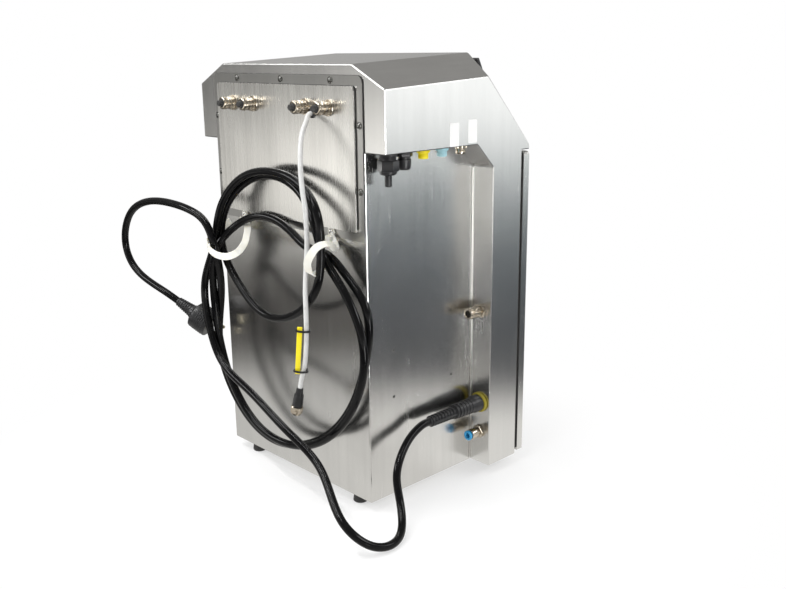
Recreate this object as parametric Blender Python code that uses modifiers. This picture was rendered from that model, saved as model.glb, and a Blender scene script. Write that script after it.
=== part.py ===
"""Date code inkjet printer cabinet, as an assembly of separate pieces with real joints.

Metres, +Z up. The door faces -Y and the connector plate faces +Y. Inside this file a place along Y is
given as a depth, counted forwards from the cabinet's back face, and everything hangs on one empty,
which is moved at the end so that the origin lies on the floor under the middle of the object.
"""

import math

import bmesh
import bpy
import numpy as np
from mathutils import Matrix, Vector

# ---------------------------------------------------------------- driving dimensions
SHEET = 0.002                 # stainless sheet
GAP = 0.0003                  # between pieces that touch
EDGE_ROUND = 0.0012           # folded edges

CABINET_WIDTH = 0.342         # hood and front section
REAR_WIDTH = 0.278            # narrow rear box
FOOT_HEIGHT = 0.014
BODY_HEIGHT = 0.500           # from the sheet's bottom edge to the roof at the back
UNDERSIDE_HEIGHT = 0.408      # hood underside, above the sheet's bottom edge
ROOF_RISE = 0.0098            # the roof climbs this much towards the front
ROOF_LENGTH = 0.1832          # depth at which the roof ends
STEP_DEPTH = 0.1725           # depth at which the full-width front section begins
FRAME_DEPTH = 0.225           # face that the door closes on
BODY_DEPTH = 0.2393           # door's outer face
GUSSET = 0.0283               # slanted corner between hood underside and step wall
CHAMFER_WIDTH = 0.051         # long bevel on the hood's top edges
CHAMFER_HEIGHT = 0.025
CORNER_DEPTH = 0.1619         # where the long bevel ends at the side
SLOPE_FOOT_HEIGHT = 0.4018    # lower end of the sloped front, above the sheet's bottom edge
CHIN_HEIGHT = 0.006

DOOR_THICKNESS = 0.0103
DOOR_BOTTOM = 0.0038          # above the sheet's bottom edge
DOOR_TOP_GAP = 0.0023
DOOR_OPENING_WIDTH = 0.300
DOOR_OPENING_LOW = 0.021      # above the sheet's bottom edge
DOOR_OPENING_HIGH = 0.381
GASKET_THICKNESS = 0.0031
PIN_RADIUS = 0.002
PIN_LENGTH = 0.012

BASE_THICKNESS = 0.003
FOOT_RADIUS = 0.009
FOOT_X = 0.104
FRONT_FOOT_X = 0.140
REAR_FOOT_DEPTH = 0.014
FRONT_FOOT_DEPTH = 0.207

FLANGE_WIDTH = 0.277
FLANGE_LOW = 0.3115           # above the sheet's bottom edge
FLANGE_HEIGHT = 0.177
FLANGE_THICKNESS = 0.0015
FLANGE_CORNER = 0.008
PLATE_WIDTH = 0.256
PLATE_HEIGHT = 0.156
PLATE_MARGIN = 0.010          # flange showing below the raised plate
PLATE_THICKNESS = 0.003
WINDOW_WIDTH = 0.230          # opening in the back walls behind the plate
WINDOW_LOW = 0.331
WINDOW_HIGH = 0.466
SOCKET_HEIGHT = 0.454         # above the sheet's bottom edge
SOCKET_X = (0.0925, 0.0515, -0.0475, -0.0875)
BARREL_RADIUS = 0.0066
SOCKET_REACH = 0.0175
INSERT_RADIUS = 0.0036

STEP_PORT_X = 0.155           # middle of the step walls
ENCODER_HEIGHT = 0.203
INLET_HEIGHT = 0.083
AIR_HEIGHT = 0.0435
UNDER_PORT_X = -0.155
PRINTHEAD_DEPTH = 0.019
SPARE_GLAND_DEPTH = 0.043
SENSOR_DEPTH = 0.072
BEACON_DEPTH = 0.102
NETWORK_DEPTH = 0.133
INLET_RADIUS = 0.0085
RING_RADIUS = 0.0125           # yellow seal ring round the inlet
RING_THICKNESS = 0.0035
SWITCH_HALF = 0.0065           # half the main switch's width
SWITCH_TALL = 0.011            # and half its height
AIR_BORE = 0.0030
AIR_TRAVEL = 0.0012            # how far the release collar is pressed in

LATCH_X = -0.138
LATCH_Z = 0.212                # above the floor
LATCH_BORE = 0.0040
LATCH_KNOB = 0.016

PANEL_WIDTH = 0.262
PANEL_HEIGHT = 0.104
PANEL_THICKNESS = 0.004
PANEL_BACK = 0.010            # how far the panel's body reaches behind the sheet's outer face
SCREEN_WIDTH = 0.152
SCREEN_HEIGHT = 0.086
SCREEN_X = -0.044
KEY_SIZE = 0.018
KEY_TRAVEL = 0.0012
KEY_X = 0.083
KEY_PITCH = 0.0235

CHASSIS_DEPTH = 0.108
CHASSIS_THICKNESS = 0.002
TRAY_WALL = 0.0015
TRAY_HEIGHT = 0.016
TANK_WIDTH = 0.116
TANK_LENGTH = 0.082
TANK_HEIGHT = 0.165
TANK_X = 0.0665
TANK_DEPTH = 0.166
NECK_RADIUS = 0.016
CAP_RADIUS = 0.021
CAP_HEIGHT = 0.018
PUMP_HEIGHT = 0.262
PUMP_DEPTH = 0.142
FAN_SIZE = 0.080
FAN_HEIGHT = 0.020
FAN_X = 0.082
FAN_DEPTH = 0.055

STRAP_WIDTH = 0.0075
STRAP_THICKNESS = 0.0014

CORD_DIAMETER = 0.0095
CABLE_DIAMETER = 0.0056

# ---------------------------------------------------------------- places worked out from them
FLOOR = FOOT_HEIGHT                          # height of the sheet's bottom edge
HALF_WIDTH = CABINET_WIDTH / 2
HALF_REAR = REAR_WIDTH / 2
UNDERSIDE = FLOOR + UNDERSIDE_HEIGHT
ROOF_BACK = FLOOR + BODY_HEIGHT
ROOF_FRONT = ROOF_BACK + ROOF_RISE
SLOPE_FOOT = FLOOR + SLOPE_FOOT_HEIGHT
CHIN = SLOPE_FOOT - CHIN_HEIGHT
ROOF_CLIMB = ROOF_RISE / ROOF_LENGTH
SLOPE_RUN = BODY_DEPTH - ROOF_LENGTH
SLOPE_FALL = ROOF_FRONT - SLOPE_FOOT
SLOPE_LENGTH = math.hypot(SLOPE_RUN, SLOPE_FALL)
SLOPE_ANGLE = math.atan2(SLOPE_FALL, SLOPE_RUN)
BASE_TOP = FLOOR + BASE_THICKNESS
DOOR_BACK = BODY_DEPTH - DOOR_THICKNESS
HINGE_X = HALF_WIDTH - DOOR_THICKNESS / 2
HINGE_DEPTH = BODY_DEPTH - DOOR_THICKNESS / 2
DOOR_LOW = FLOOR + DOOR_BOTTOM
DOOR_HIGH = CHIN - DOOR_TOP_GAP
FLANGE_FACE = GAP + FLANGE_THICKNESS         # how far the flange stands out of the back
PLATE_FACE = FLANGE_FACE + GAP + PLATE_THICKNESS
PLATE_BOTTOM = FLOOR + FLANGE_LOW + PLATE_MARGIN
SOCKET_Z = FLOOR + SOCKET_HEIGHT

STEEL = ("brushed_steel", (0.62, 0.62, 0.60), 0.32, 1.0)
DARK_STEEL = ("flange_steel", (0.50, 0.50, 0.49), 0.38, 1.0)
NICKEL = ("nickel", (0.70, 0.66, 0.58), 0.25, 1.0)
BLACK = ("black_plastic", (0.02, 0.02, 0.022), 0.45, 0.0)
RUBBER = ("rubber", (0.03, 0.03, 0.03), 0.75, 0.0)
CORD_BLACK = ("cord_black", (0.015, 0.015, 0.016), 0.30, 0.0)
CABLE_GREY = ("cable_grey", (0.78, 0.77, 0.74), 0.45, 0.0)
NYLON = ("nylon", (0.86, 0.84, 0.76), 0.50, 0.0)
YELLOW = ("yellow_plastic", (0.85, 0.72, 0.05), 0.45, 0.0)
BLUE = ("blue_plastic", (0.02, 0.32, 0.65), 0.40, 0.0)
PALE_BLUE = ("pale_blue_plastic", (0.35, 0.62, 0.68), 0.40, 0.0)
TANK_WHITE = ("tank_plastic", (0.80, 0.80, 0.76), 0.50, 0.0)
BOARD_GREEN = ("board_green", (0.03, 0.22, 0.10), 0.45, 0.0)
GREY = ("grey_plastic", (0.30, 0.31, 0.32), 0.50, 0.0)
GLASS = ("screen_glass", (0.03, 0.04, 0.05), 0.12, 0.0)
GREEN_KEY = ("green_key", (0.06, 0.42, 0.14), 0.45, 0.0)
RED_KEY = ("red_key", (0.60, 0.05, 0.04), 0.45, 0.0)


# ---------------------------------------------------------------- scene and helpers
for old in list(bpy.data.objects):
    bpy.data.objects.remove(old)

PARTS = bpy.data.collections.new("date_code_printer")
CUTTERS = bpy.data.collections.new("cutters")
bpy.context.scene.collection.children.link(PARTS)
bpy.context.scene.collection.children.link(CUTTERS)
CUTTERS.hide_render = True

ORIGIN = bpy.data.objects.new("printer_origin", None)
PARTS.objects.link(ORIGIN)


def material(spec):
    name, colour, roughness, metallic = spec
    found = bpy.data.materials.get(name)
    if found:
        return found
    made = bpy.data.materials.new(name)
    made.use_nodes = True
    shader = made.node_tree.nodes["Principled BSDF"]
    shader.inputs["Base Color"].default_value = (*colour, 1.0)
    shader.inputs["Roughness"].default_value = roughness
    shader.inputs["Metallic"].default_value = metallic
    made.diffuse_color = (*colour, 1.0)
    return made


def place(x, depth, z):
    """A point from its X, its depth behind the back face and its height."""
    return Vector((x, -depth, z))


def add(name, mesh, spec, parent=None, location=(0, 0, 0), rotation=(0, 0, 0)):
    obj = bpy.data.objects.new(name, mesh)
    PARTS.objects.link(obj)
    obj.parent = parent or ORIGIN
    obj.location = location
    obj.rotation_euler = rotation
    mesh.materials.clear()
    mesh.materials.append(material(spec))
    return obj


def as_cutter(obj):
    PARTS.objects.unlink(obj)
    CUTTERS.objects.link(obj)
    obj.hide_render = True
    obj.display_type = "WIRE"
    return obj


def boolean(obj, tool, operation="DIFFERENCE"):
    modifier = obj.modifiers.new(operation.lower(), "BOOLEAN")
    modifier.operation = operation
    modifier.object = as_cutter(tool)
    return obj


def joined(obj, *tools):
    for tool in tools:
        boolean(obj, tool, "UNION")
    return obj


def cut(obj, *tools):
    for tool in tools:
        boolean(obj, tool)
    return obj


def mesh_from(bm, name):
    mesh = bpy.data.meshes.new(name)
    bm.to_mesh(mesh)
    bm.free()
    return mesh


def block_mesh(name, low, high, bevel=0.0, segments=2):
    low, high = Vector(low), Vector(high)
    size = high - low
    bm = bmesh.new()
    bmesh.ops.create_cube(bm, size=1.0)
    bmesh.ops.scale(bm, vec=size, verts=bm.verts)
    bmesh.ops.translate(bm, vec=(low + high) / 2, verts=bm.verts)
    if bevel:
        bmesh.ops.bevel(bm, geom=bm.edges[:], offset=bevel, segments=segments, profile=0.5, affect="EDGES")
    return mesh_from(bm, name)


def block(name, x, depth, z, spec, bevel=0.0, segments=2, parent=None):
    """A box from its (low, high) pairs in X, depth and height."""
    low = (x[0], -depth[1], z[0])
    high = (x[1], -depth[0], z[1])
    return add(name, block_mesh(name, low, high, bevel, segments), spec, parent)


def rod(name, start, end, radius, spec, sides=24, parent=None):
    start, end = Vector(start), Vector(end)
    axis = end - start
    bm = bmesh.new()
    bmesh.ops.create_cone(bm, cap_ends=True, segments=sides, radius1=radius, radius2=radius,
                          depth=axis.length)
    turn = axis.to_track_quat("Z", "Y").to_matrix().to_4x4()
    bmesh.ops.transform(bm, matrix=Matrix.Translation((start + end) / 2) @ turn, verts=bm.verts)
    return add(name, mesh_from(bm, name), spec, parent)


FACING = {"back": (-math.pi / 2, 0, 0), "front": (math.pi / 2, 0, 0), "up": (0, 0, 0),
          "down": (math.pi, 0, 0), "right": (0, math.pi / 2, 0)}


def turned(name, profile, spec, location, facing="up", sides=24, parent=None):
    """A solid of revolution: profile is (radius, height) from the top's middle down to the foot's middle."""
    mesh = bpy.data.meshes.new(name)
    points = [(radius, 0.0, height) for radius, height in profile]
    mesh.from_pydata(points, [(i, i + 1) for i in range(len(points) - 1)], [])
    obj = add(name, mesh, spec, parent, location, FACING[facing])
    screw = obj.modifiers.new("turn", "SCREW")
    screw.steps = screw.render_steps = sides
    screw.use_merge_vertices = True
    screw.merge_threshold = 0.00005
    return obj


def hexagon(name, across_flats, low, high, spec, location, facing, parent=None):
    """A hexagonal nut body, standing from low to high along its facing direction."""
    bm = bmesh.new()
    radius = across_flats / math.sqrt(3)
    bmesh.ops.create_cone(bm, cap_ends=True, segments=6, radius1=radius, radius2=radius, depth=high - low)
    bmesh.ops.translate(bm, vec=(0, 0, (low + high) / 2), verts=bm.verts)
    return add(name, mesh_from(bm, name), spec, parent, location, FACING[facing])


def rounded_outline(width, height, radii, steps=6):
    """Corner points of a rectangle about the origin; radii go top right, top left, bottom left, bottom right."""
    corners = ((width / 2, height / 2, 0.0), (-width / 2, height / 2, 90.0),
               (-width / 2, -height / 2, 180.0), (width / 2, -height / 2, 270.0))
    points = []
    for (x, y, start), radius in zip(corners, radii):
        if not radius:
            points.append((x, y))
            continue
        centre = (x - math.copysign(radius, x), y - math.copysign(radius, y))
        for i in range(steps + 1):
            angle = math.radians(start + 90.0 * i / steps)
            points.append((centre[0] + radius * math.cos(angle), centre[1] + radius * math.sin(angle)))
    return points


def circle_outline(radius, sides=24, centre=(0.0, 0.0)):
    angles = [2 * math.pi * i / sides for i in range(sides)]
    return [(centre[0] + radius * math.cos(a), centre[1] + radius * math.sin(a)) for a in angles]


def flat(name, outlines, thickness, spec, location=(0, 0, 0), rotation=(0, 0, 0), parent=None):
    """A plate from closed outlines in its own XY plane; the outlines inside the first are holes."""
    curve = bpy.data.curves.new(name, "CURVE")
    curve.dimensions = "2D"
    curve.fill_mode = "BOTH"
    curve.extrude = thickness / 2
    for outline in outlines:
        spline = curve.splines.new("POLY")
        spline.points.add(len(outline) - 1)
        for point, (x, y) in zip(spline.points, outline):
            point.co = (x, y, 0.0, 1.0)
        spline.use_cyclic_u = True
    guide = bpy.data.objects.new(name + "_outline", curve)
    bpy.context.scene.collection.objects.link(guide)
    bpy.context.view_layer.update()
    mesh = bpy.data.meshes.new_from_object(guide.evaluated_get(bpy.context.evaluated_depsgraph_get()))
    bpy.data.objects.remove(guide)
    bm = bmesh.new()
    bm.from_mesh(mesh)
    bmesh.ops.remove_doubles(bm, verts=bm.verts, dist=1e-6)
    bmesh.ops.recalc_face_normals(bm, faces=bm.faces)
    mesh.clear_geometry()
    bm.to_mesh(mesh)
    bm.free()
    return add(name, mesh, spec, parent, location, rotation)


UPRIGHT = (math.pi / 2, 0, 0)     # an outline's own Y becomes the height


# ---------------------------------------------------------------- hood and front section
def sheared_block(outline, half_width, inset):
    """The hood's solid: its side outline drawn across the width, with the long bevels and corners cut off."""
    bm = bmesh.new()
    face = bm.faces.new([bm.verts.new((-half_width, -depth, z)) for depth, z in outline])
    grown = bmesh.ops.extrude_face_region(bm, geom=[face])
    moved = [v for v in grown["geom"] if isinstance(v, bmesh.types.BMVert)]
    bmesh.ops.translate(bm, vec=(2 * half_width, 0, 0), verts=moved)
    bmesh.ops.recalc_face_normals(bm, faces=bm.faces)
    for side in (1, -1):
        for points in corner_planes(side):
            normal = (points[1] - points[0]).cross(points[2] - points[0]).normalized()
            if normal.x * side < 0:
                normal.negate()
            result = bmesh.ops.bisect_plane(
                bm, geom=bm.verts[:] + bm.edges[:] + bm.faces[:], dist=1e-7,
                plane_co=points[0] - normal * inset, plane_no=normal, clear_outer=True)
            rim = [e for e in result["geom_cut"] if isinstance(e, bmesh.types.BMEdge)]
            bmesh.ops.holes_fill(bm, edges=rim, sides=0)
    bmesh.ops.recalc_face_normals(bm, faces=bm.faces)
    return bm


def corner_planes(side):
    """Three points on the long bevel and three on the front corner facet, for one side of the hood."""
    back_high = place(side * (HALF_WIDTH - CHAMFER_WIDTH), 0.0, ROOF_BACK)
    front_high = place(side * (HALF_WIDTH - CHAMFER_WIDTH), ROOF_LENGTH, ROOF_FRONT)
    back_low = place(side * HALF_WIDTH, 0.0, ROOF_BACK - CHAMFER_HEIGHT)
    front_low = place(side * HALF_WIDTH, CORNER_DEPTH,
                      ROOF_BACK - CHAMFER_HEIGHT + ROOF_CLIMB * CORNER_DEPTH)
    slope_foot = place(side * HALF_WIDTH, BODY_DEPTH, SLOPE_FOOT)
    return (back_high, front_high, back_low), (front_high, front_low, slope_foot)


def make_hood():
    outer = [(0.0, UNDERSIDE), (STEP_DEPTH - GUSSET, UNDERSIDE), (STEP_DEPTH, UNDERSIDE - GUSSET),
             (STEP_DEPTH, FLOOR), (FRAME_DEPTH, FLOOR), (FRAME_DEPTH, CHIN), (BODY_DEPTH, CHIN),
             (BODY_DEPTH, SLOPE_FOOT), (ROOF_LENGTH, ROOF_FRONT), (0.0, ROOF_BACK)]
    slope_drop = SHEET * SLOPE_LENGTH / SLOPE_RUN
    frame_inner = FRAME_DEPTH - SHEET
    roof_inner = ROOF_LENGTH - SHEET * (SLOPE_LENGTH - SLOPE_RUN) / SLOPE_FALL
    slope_at_frame = SLOPE_FOOT + (BODY_DEPTH - frame_inner) * SLOPE_FALL / SLOPE_RUN - slope_drop
    corner = SHEET * math.tan(math.pi / 8)
    below = FLOOR - 0.01
    inner = [(SHEET, UNDERSIDE + SHEET), (STEP_DEPTH - GUSSET + corner, UNDERSIDE + SHEET),
             (STEP_DEPTH + SHEET, UNDERSIDE - GUSSET + corner), (STEP_DEPTH + SHEET, below),
             (frame_inner, below), (frame_inner, slope_at_frame),
             (roof_inner, ROOF_FRONT - SHEET), (SHEET, ROOF_BACK - SHEET)]
    bm = sheared_block(outer, HALF_WIDTH, 0.0)
    bmesh.ops.bevel(bm, geom=bm.edges[:], offset=EDGE_ROUND, segments=2, profile=0.5, affect="EDGES")
    hood = add("hood_skin", mesh_from(bm, "hood_skin"), STEEL)
    hollow = add("hood_hollow", mesh_from(
        sheared_block(inner, HALF_WIDTH - SHEET, SHEET), "hood_hollow"), STEEL)
    half_open = HALF_REAR - SHEET
    cut(hood,
        hollow,
        block("rear_way", (-half_open, half_open), (SHEET, STEP_DEPTH + 2 * SHEET),
              (FLOOR - 0.01, UNDERSIDE + 2 * SHEET), STEEL),
        block("rear_seat", (-HALF_REAR - GAP, HALF_REAR + GAP), (-0.01, STEP_DEPTH),
              (FLOOR - 0.01, UNDERSIDE), STEEL),
        block("door_way", (-DOOR_OPENING_WIDTH / 2, DOOR_OPENING_WIDTH / 2),
              (FRAME_DEPTH - 2 * SHEET, FRAME_DEPTH + 0.001),
              (FLOOR + DOOR_OPENING_LOW, FLOOR + DOOR_OPENING_HIGH), STEEL),
        block("window_way", (-WINDOW_WIDTH / 2, WINDOW_WIDTH / 2), (-0.001, 2 * SHEET),
              (UNDERSIDE - 0.002, FLOOR + WINDOW_HIGH), STEEL))
    tab = block("hinge_tab", (HINGE_X - 0.008, HALF_WIDTH - 0.0005), (FRAME_DEPTH - 0.0015, BODY_DEPTH),
                (FLOOR, FLOOR + DOOR_BOTTOM - 2 * GAP), STEEL)
    joined(hood, tab)
    pin_way = rod("pin_way", place(HINGE_X, HINGE_DEPTH, DOOR_LOW - 0.008),
                  place(HINGE_X, HINGE_DEPTH, CHIN + CHIN_HEIGHT - 0.0015), PIN_RADIUS + GAP, STEEL, 16)
    cut(hood, pin_way)
    cut(hood, *step_wall_holes(), *underside_holes(), screen_hole())
    return hood


def step_wall_holes():
    wall = (STEP_DEPTH - 0.002, STEP_DEPTH + SHEET + 0.002)

    def hole(name, x, z, radius):
        return rod(name, place(x, wall[0], z), place(x, wall[1], z), radius + GAP, STEEL)

    switch_z = FLOOR + INLET_HEIGHT
    return [hole("encoder_hole", -STEP_PORT_X, FLOOR + ENCODER_HEIGHT, 0.0060),
            hole("inlet_hole", -STEP_PORT_X, FLOOR + INLET_HEIGHT, INLET_RADIUS),
            hole("air_hole", -STEP_PORT_X, FLOOR + AIR_HEIGHT, 0.0048),
            block("switch_hole", (STEP_PORT_X - SWITCH_HALF - GAP, STEP_PORT_X + SWITCH_HALF + GAP), wall,
                  (switch_z - SWITCH_TALL - GAP, switch_z + SWITCH_TALL + GAP), STEEL)]


def underside_holes():
    made = []
    for name, depth, radius in UNDER_PORTS:
        made.append(rod(name + "_hole", place(UNDER_PORT_X, depth, UNDERSIDE - 0.002),
                        place(UNDER_PORT_X, depth, UNDERSIDE + SHEET + 0.002), radius + GAP, STEEL))
    return made


UNDER_PORTS = (("printhead_gland", PRINTHEAD_DEPTH, 0.0075), ("spare_gland", SPARE_GLAND_DEPTH, 0.0060),
               ("sensor_socket", SENSOR_DEPTH, 0.0055), ("beacon_socket", BEACON_DEPTH, 0.0055),
               ("network_socket", NETWORK_DEPTH, 0.0055))

# The sloped panel's own frame: X across, Y up the slope, Z out of it.
SLOPE = bpy.data.objects.new("slope_frame", None)
PARTS.objects.link(SLOPE)
SLOPE.parent = ORIGIN
SLOPE.location = place(0.0, (ROOF_LENGTH + BODY_DEPTH) / 2, (ROOF_FRONT + SLOPE_FOOT) / 2)
SLOPE.rotation_euler = (SLOPE_ANGLE, 0, 0)


def sloped_block(name, x, y, z, spec, bevel=0.0):
    mesh = block_mesh(name, (x[0], y[0], z[0]), (x[1], y[1], z[1]), bevel)
    return add(name, mesh, spec, SLOPE)


def screen_hole():
    margin = 0.006
    return sloped_block("screen_way", (-PANEL_WIDTH / 2 + margin, PANEL_WIDTH / 2 - margin),
                        (-PANEL_HEIGHT / 2 + margin, PANEL_HEIGHT / 2 - margin),
                        (-PANEL_BACK - GAP, 0.002), STEEL)


# ---------------------------------------------------------------- rear box, base and feet
def make_rear_shell():
    top = UNDERSIDE - GAP
    front = STEP_DEPTH - GAP
    bm = bmesh.new()
    bmesh.ops.create_cube(bm, size=1.0)
    size = Vector((REAR_WIDTH, front, top - FLOOR))
    bmesh.ops.scale(bm, vec=size, verts=bm.verts)
    bmesh.ops.translate(bm, vec=(0, -front / 2, (top + FLOOR) / 2), verts=bm.verts)
    upright = [e for e in bm.edges if abs(e.verts[0].co.z - e.verts[1].co.z) > 0.1
               and e.verts[0].co.y > -0.01]
    bmesh.ops.bevel(bm, geom=upright, offset=EDGE_ROUND, segments=2, profile=0.5, affect="EDGES")
    shell = add("rear_shell", mesh_from(bm, "rear_shell"), STEEL)
    inside = HALF_REAR - SHEET
    return cut(shell,
               block("rear_hollow", (-inside, inside), (SHEET, front + 0.01), (FLOOR - 0.01, top + 0.01), STEEL),
               block("rear_window", (-WINDOW_WIDTH / 2, WINDOW_WIDTH / 2), (-0.001, 2 * SHEET),
                     (FLOOR + WINDOW_LOW, top + 0.01), STEEL))


def make_base():
    rear = HALF_REAR - SHEET - GAP
    front = HALF_WIDTH - SHEET - GAP
    shoulder = STEP_DEPTH + SHEET + GAP
    back_edge = SHEET + GAP
    front_edge = FRAME_DEPTH - SHEET - GAP
    outline = [(-rear, -back_edge), (-rear, -shoulder), (-front, -shoulder), (-front, -front_edge),
               (front, -front_edge), (front, -shoulder), (rear, -shoulder), (rear, -back_edge)]
    vent = circle_outline(FAN_SIZE / 2 - 0.008, 24, (FAN_X, -FAN_DEPTH))
    return flat("base_plate", [outline, vent], BASE_THICKNESS, STEEL, (0, 0, FLOOR + BASE_THICKNESS / 2))


def make_feet():
    spots = ((FOOT_X, REAR_FOOT_DEPTH), (-FOOT_X, REAR_FOOT_DEPTH),
             (FRONT_FOOT_X, FRONT_FOOT_DEPTH), (-FRONT_FOOT_X, FRONT_FOOT_DEPTH))
    profile = [(0, FOOT_HEIGHT - GAP), (FOOT_RADIUS * 0.82, FOOT_HEIGHT - GAP),
               (FOOT_RADIUS, 0.0025), (FOOT_RADIUS, 0.0010), (FOOT_RADIUS - 0.001, 0), (0, 0)]
    for i, (x, depth) in enumerate(spots, 1):
        turned(f"foot_{i}", profile, RUBBER, place(x, depth, 0), sides=20)


# ---------------------------------------------------------------- rear cover and its sockets
def make_rear_cover():
    middle = FLOOR + FLANGE_LOW + FLANGE_HEIGHT / 2
    outer = rounded_outline(FLANGE_WIDTH, FLANGE_HEIGHT, (FLANGE_CORNER, FLANGE_CORNER, 0.002, 0.002))
    opening = rounded_outline(WINDOW_WIDTH, PLATE_HEIGHT - 0.02, (0, 0, 0, 0))
    plate_z = PLATE_BOTTOM + PLATE_HEIGHT / 2
    lifted = [(x, z + plate_z - middle) for x, z in opening]
    flat("cover_flange", [outer, lifted], FLANGE_THICKNESS, DARK_STEEL,
         place(0, -GAP - FLANGE_THICKNESS / 2, middle), UPRIGHT)
    outline = rounded_outline(PLATE_WIDTH, PLATE_HEIGHT, (0.005, 0.005, 0.001, 0.001), 4)
    holes = [circle_outline(BARREL_RADIUS + GAP, 16, (x, SOCKET_Z - plate_z)) for x in SOCKET_X]
    flat("connector_plate", [outline] + holes, PLATE_THICKNESS, STEEL,
         place(0, -FLANGE_FACE - GAP - PLATE_THICKNESS / 2, plate_z), UPRIGHT)


def make_back_socket(index, x):
    """A nickel socket on the raised plate: flange ring, grooved barrel, front ring and its black insert."""
    face = PLATE_FACE + GAP
    front = face + SOCKET_REACH
    bore = INSERT_RADIUS - 0.0005
    profile = [(bore, front), (0.0066, front), (0.0074, front - 0.0010),
               (0.0074, front - 0.0060), (0.0064, front - 0.0065), (0.0064, front - 0.0080),
               (0.0072, front - 0.0085), (0.0072, front - 0.0115), (0.0078, front - 0.0120),
               (0.0078, face + 0.0020), (0.0092, face + 0.0018), (0.0092, face),
               (BARREL_RADIUS, face), (BARREL_RADIUS, -0.008), (bore, -0.008), (bore, front)]
    socket = turned(f"back_socket_{index + 1}", profile, NICKEL, place(x, 0, SOCKET_Z), "back", 16)
    joined(socket, turned(
        "insert", [(0, front + 0.0050), (INSERT_RADIUS - 0.0008, front + 0.0050),
                   (INSERT_RADIUS, front + 0.0040), (INSERT_RADIUS, -0.006), (0, -0.006)],
        BLACK, place(x, 0, SOCKET_Z), "back", 16))


# ---------------------------------------------------------------- connectors under the hood
def make_printhead_gland():
    """The large black gland for the printhead conduit, with a blanked spigot."""
    top = UNDERSIDE + SHEET + 0.006
    at = place(UNDER_PORT_X, PRINTHEAD_DEPTH, top)
    wall = top - UNDERSIDE
    profile = [(0, wall + 0.0360), (0.0032, wall + 0.0360), (0.0040, wall + 0.0350), (0.0040, wall + 0.0235),
               (0.0088, wall + 0.0225), (0.0098, wall + 0.0200), (0.0098, wall + 0.0060),
               (0.0082, wall + 0.0050), (0.0082, wall + 0.0030), (0.0100, wall + 0.0028),
               (0.0100, wall + GAP), (0.0075, wall + GAP), (0.0075, 0), (0, 0)]
    gland = turned("printhead_gland", profile, BLACK, at, "down", 16)
    joined(gland, hexagon("gland_hexagon", 0.0205, wall + 0.0075, wall + 0.0195, BLACK, at, "down"))


def make_spare_gland():
    top = UNDERSIDE + SHEET + 0.005
    at = place(UNDER_PORT_X, SPARE_GLAND_DEPTH, top)
    wall = top - UNDERSIDE
    profile = [(0, wall + 0.0200), (0.0050, wall + 0.0200), (0.0070, wall + 0.0180), (0.0076, wall + 0.0090),
               (0.0068, wall + 0.0080), (0.0068, wall + 0.0060), (0.0088, wall + 0.0058),
               (0.0088, wall + GAP), (0.0060, wall + GAP), (0.0060, 0), (0, 0)]
    gland = turned("spare_gland", profile, BLACK, at, "down", 16)
    joined(gland, hexagon("spare_hexagon", 0.0165, wall + 0.0015, wall + 0.0055, BLACK, at, "down"))


def make_small_socket(name, depth, spec):
    top = UNDERSIDE + SHEET + 0.005
    wall = top - UNDERSIDE
    profile = [(0, wall + 0.0095), (0.0034, wall + 0.0095), (0.0034, wall + 0.0105), (0.0052, wall + 0.0105),
               (0.0058, wall + 0.0098), (0.0058, wall + 0.0045), (0.0072, wall + 0.0042),
               (0.0072, wall + GAP), (0.0055, wall + GAP), (0.0055, 0), (0, 0)]
    turned(name, profile, spec, place(UNDER_PORT_X, depth, top), "down", 16)


# ---------------------------------------------------------------- connectors on the step walls
def make_encoder_socket():
    inner = STEP_DEPTH + SHEET + 0.007
    at = place(-STEP_PORT_X, inner, FLOOR + ENCODER_HEIGHT)
    wall = inner - STEP_DEPTH
    profile = [(0, wall + 0.0225), (0.0036, wall + 0.0225), (0.0036, wall + 0.0245), (0.0056, wall + 0.0245),
               (0.0066, wall + 0.0235), (0.0066, wall + 0.0170), (0.0058, wall + 0.0165),
               (0.0058, wall + 0.0140), (0.0068, wall + 0.0135), (0.0068, wall + 0.0060),
               (0.0084, wall + 0.0055), (0.0084, wall + GAP), (0.0060, wall + GAP), (0.0060, 0), (0, 0)]
    socket = turned("encoder_socket", profile, NICKEL, at, "back", 16)
    joined(socket, hexagon("encoder_hexagon", 0.0165, wall + 0.0012, wall + 0.0050, NICKEL, at, "back"))


def make_inlet():
    """The mains inlet: a black socket in the step wall inside a yellow seal ring."""
    inner = STEP_DEPTH + SHEET + 0.012
    at = place(-STEP_PORT_X, inner, FLOOR + INLET_HEIGHT)
    wall = inner - STEP_DEPTH
    ring = GAP + RING_THICKNESS
    turned("power_inlet", [(0, wall + ring), (INLET_RADIUS, wall + ring), (INLET_RADIUS, 0), (0, 0)],
           BLACK, at, "back")
    turned("inlet_seal_ring",
           [(INLET_RADIUS + GAP, wall + ring), (RING_RADIUS - 0.0008, wall + ring),
            (RING_RADIUS, wall + ring - 0.0008), (RING_RADIUS, wall + GAP),
            (INLET_RADIUS + GAP, wall + GAP), (INLET_RADIUS + GAP, wall + ring)],
           YELLOW, at, "back")


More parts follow.
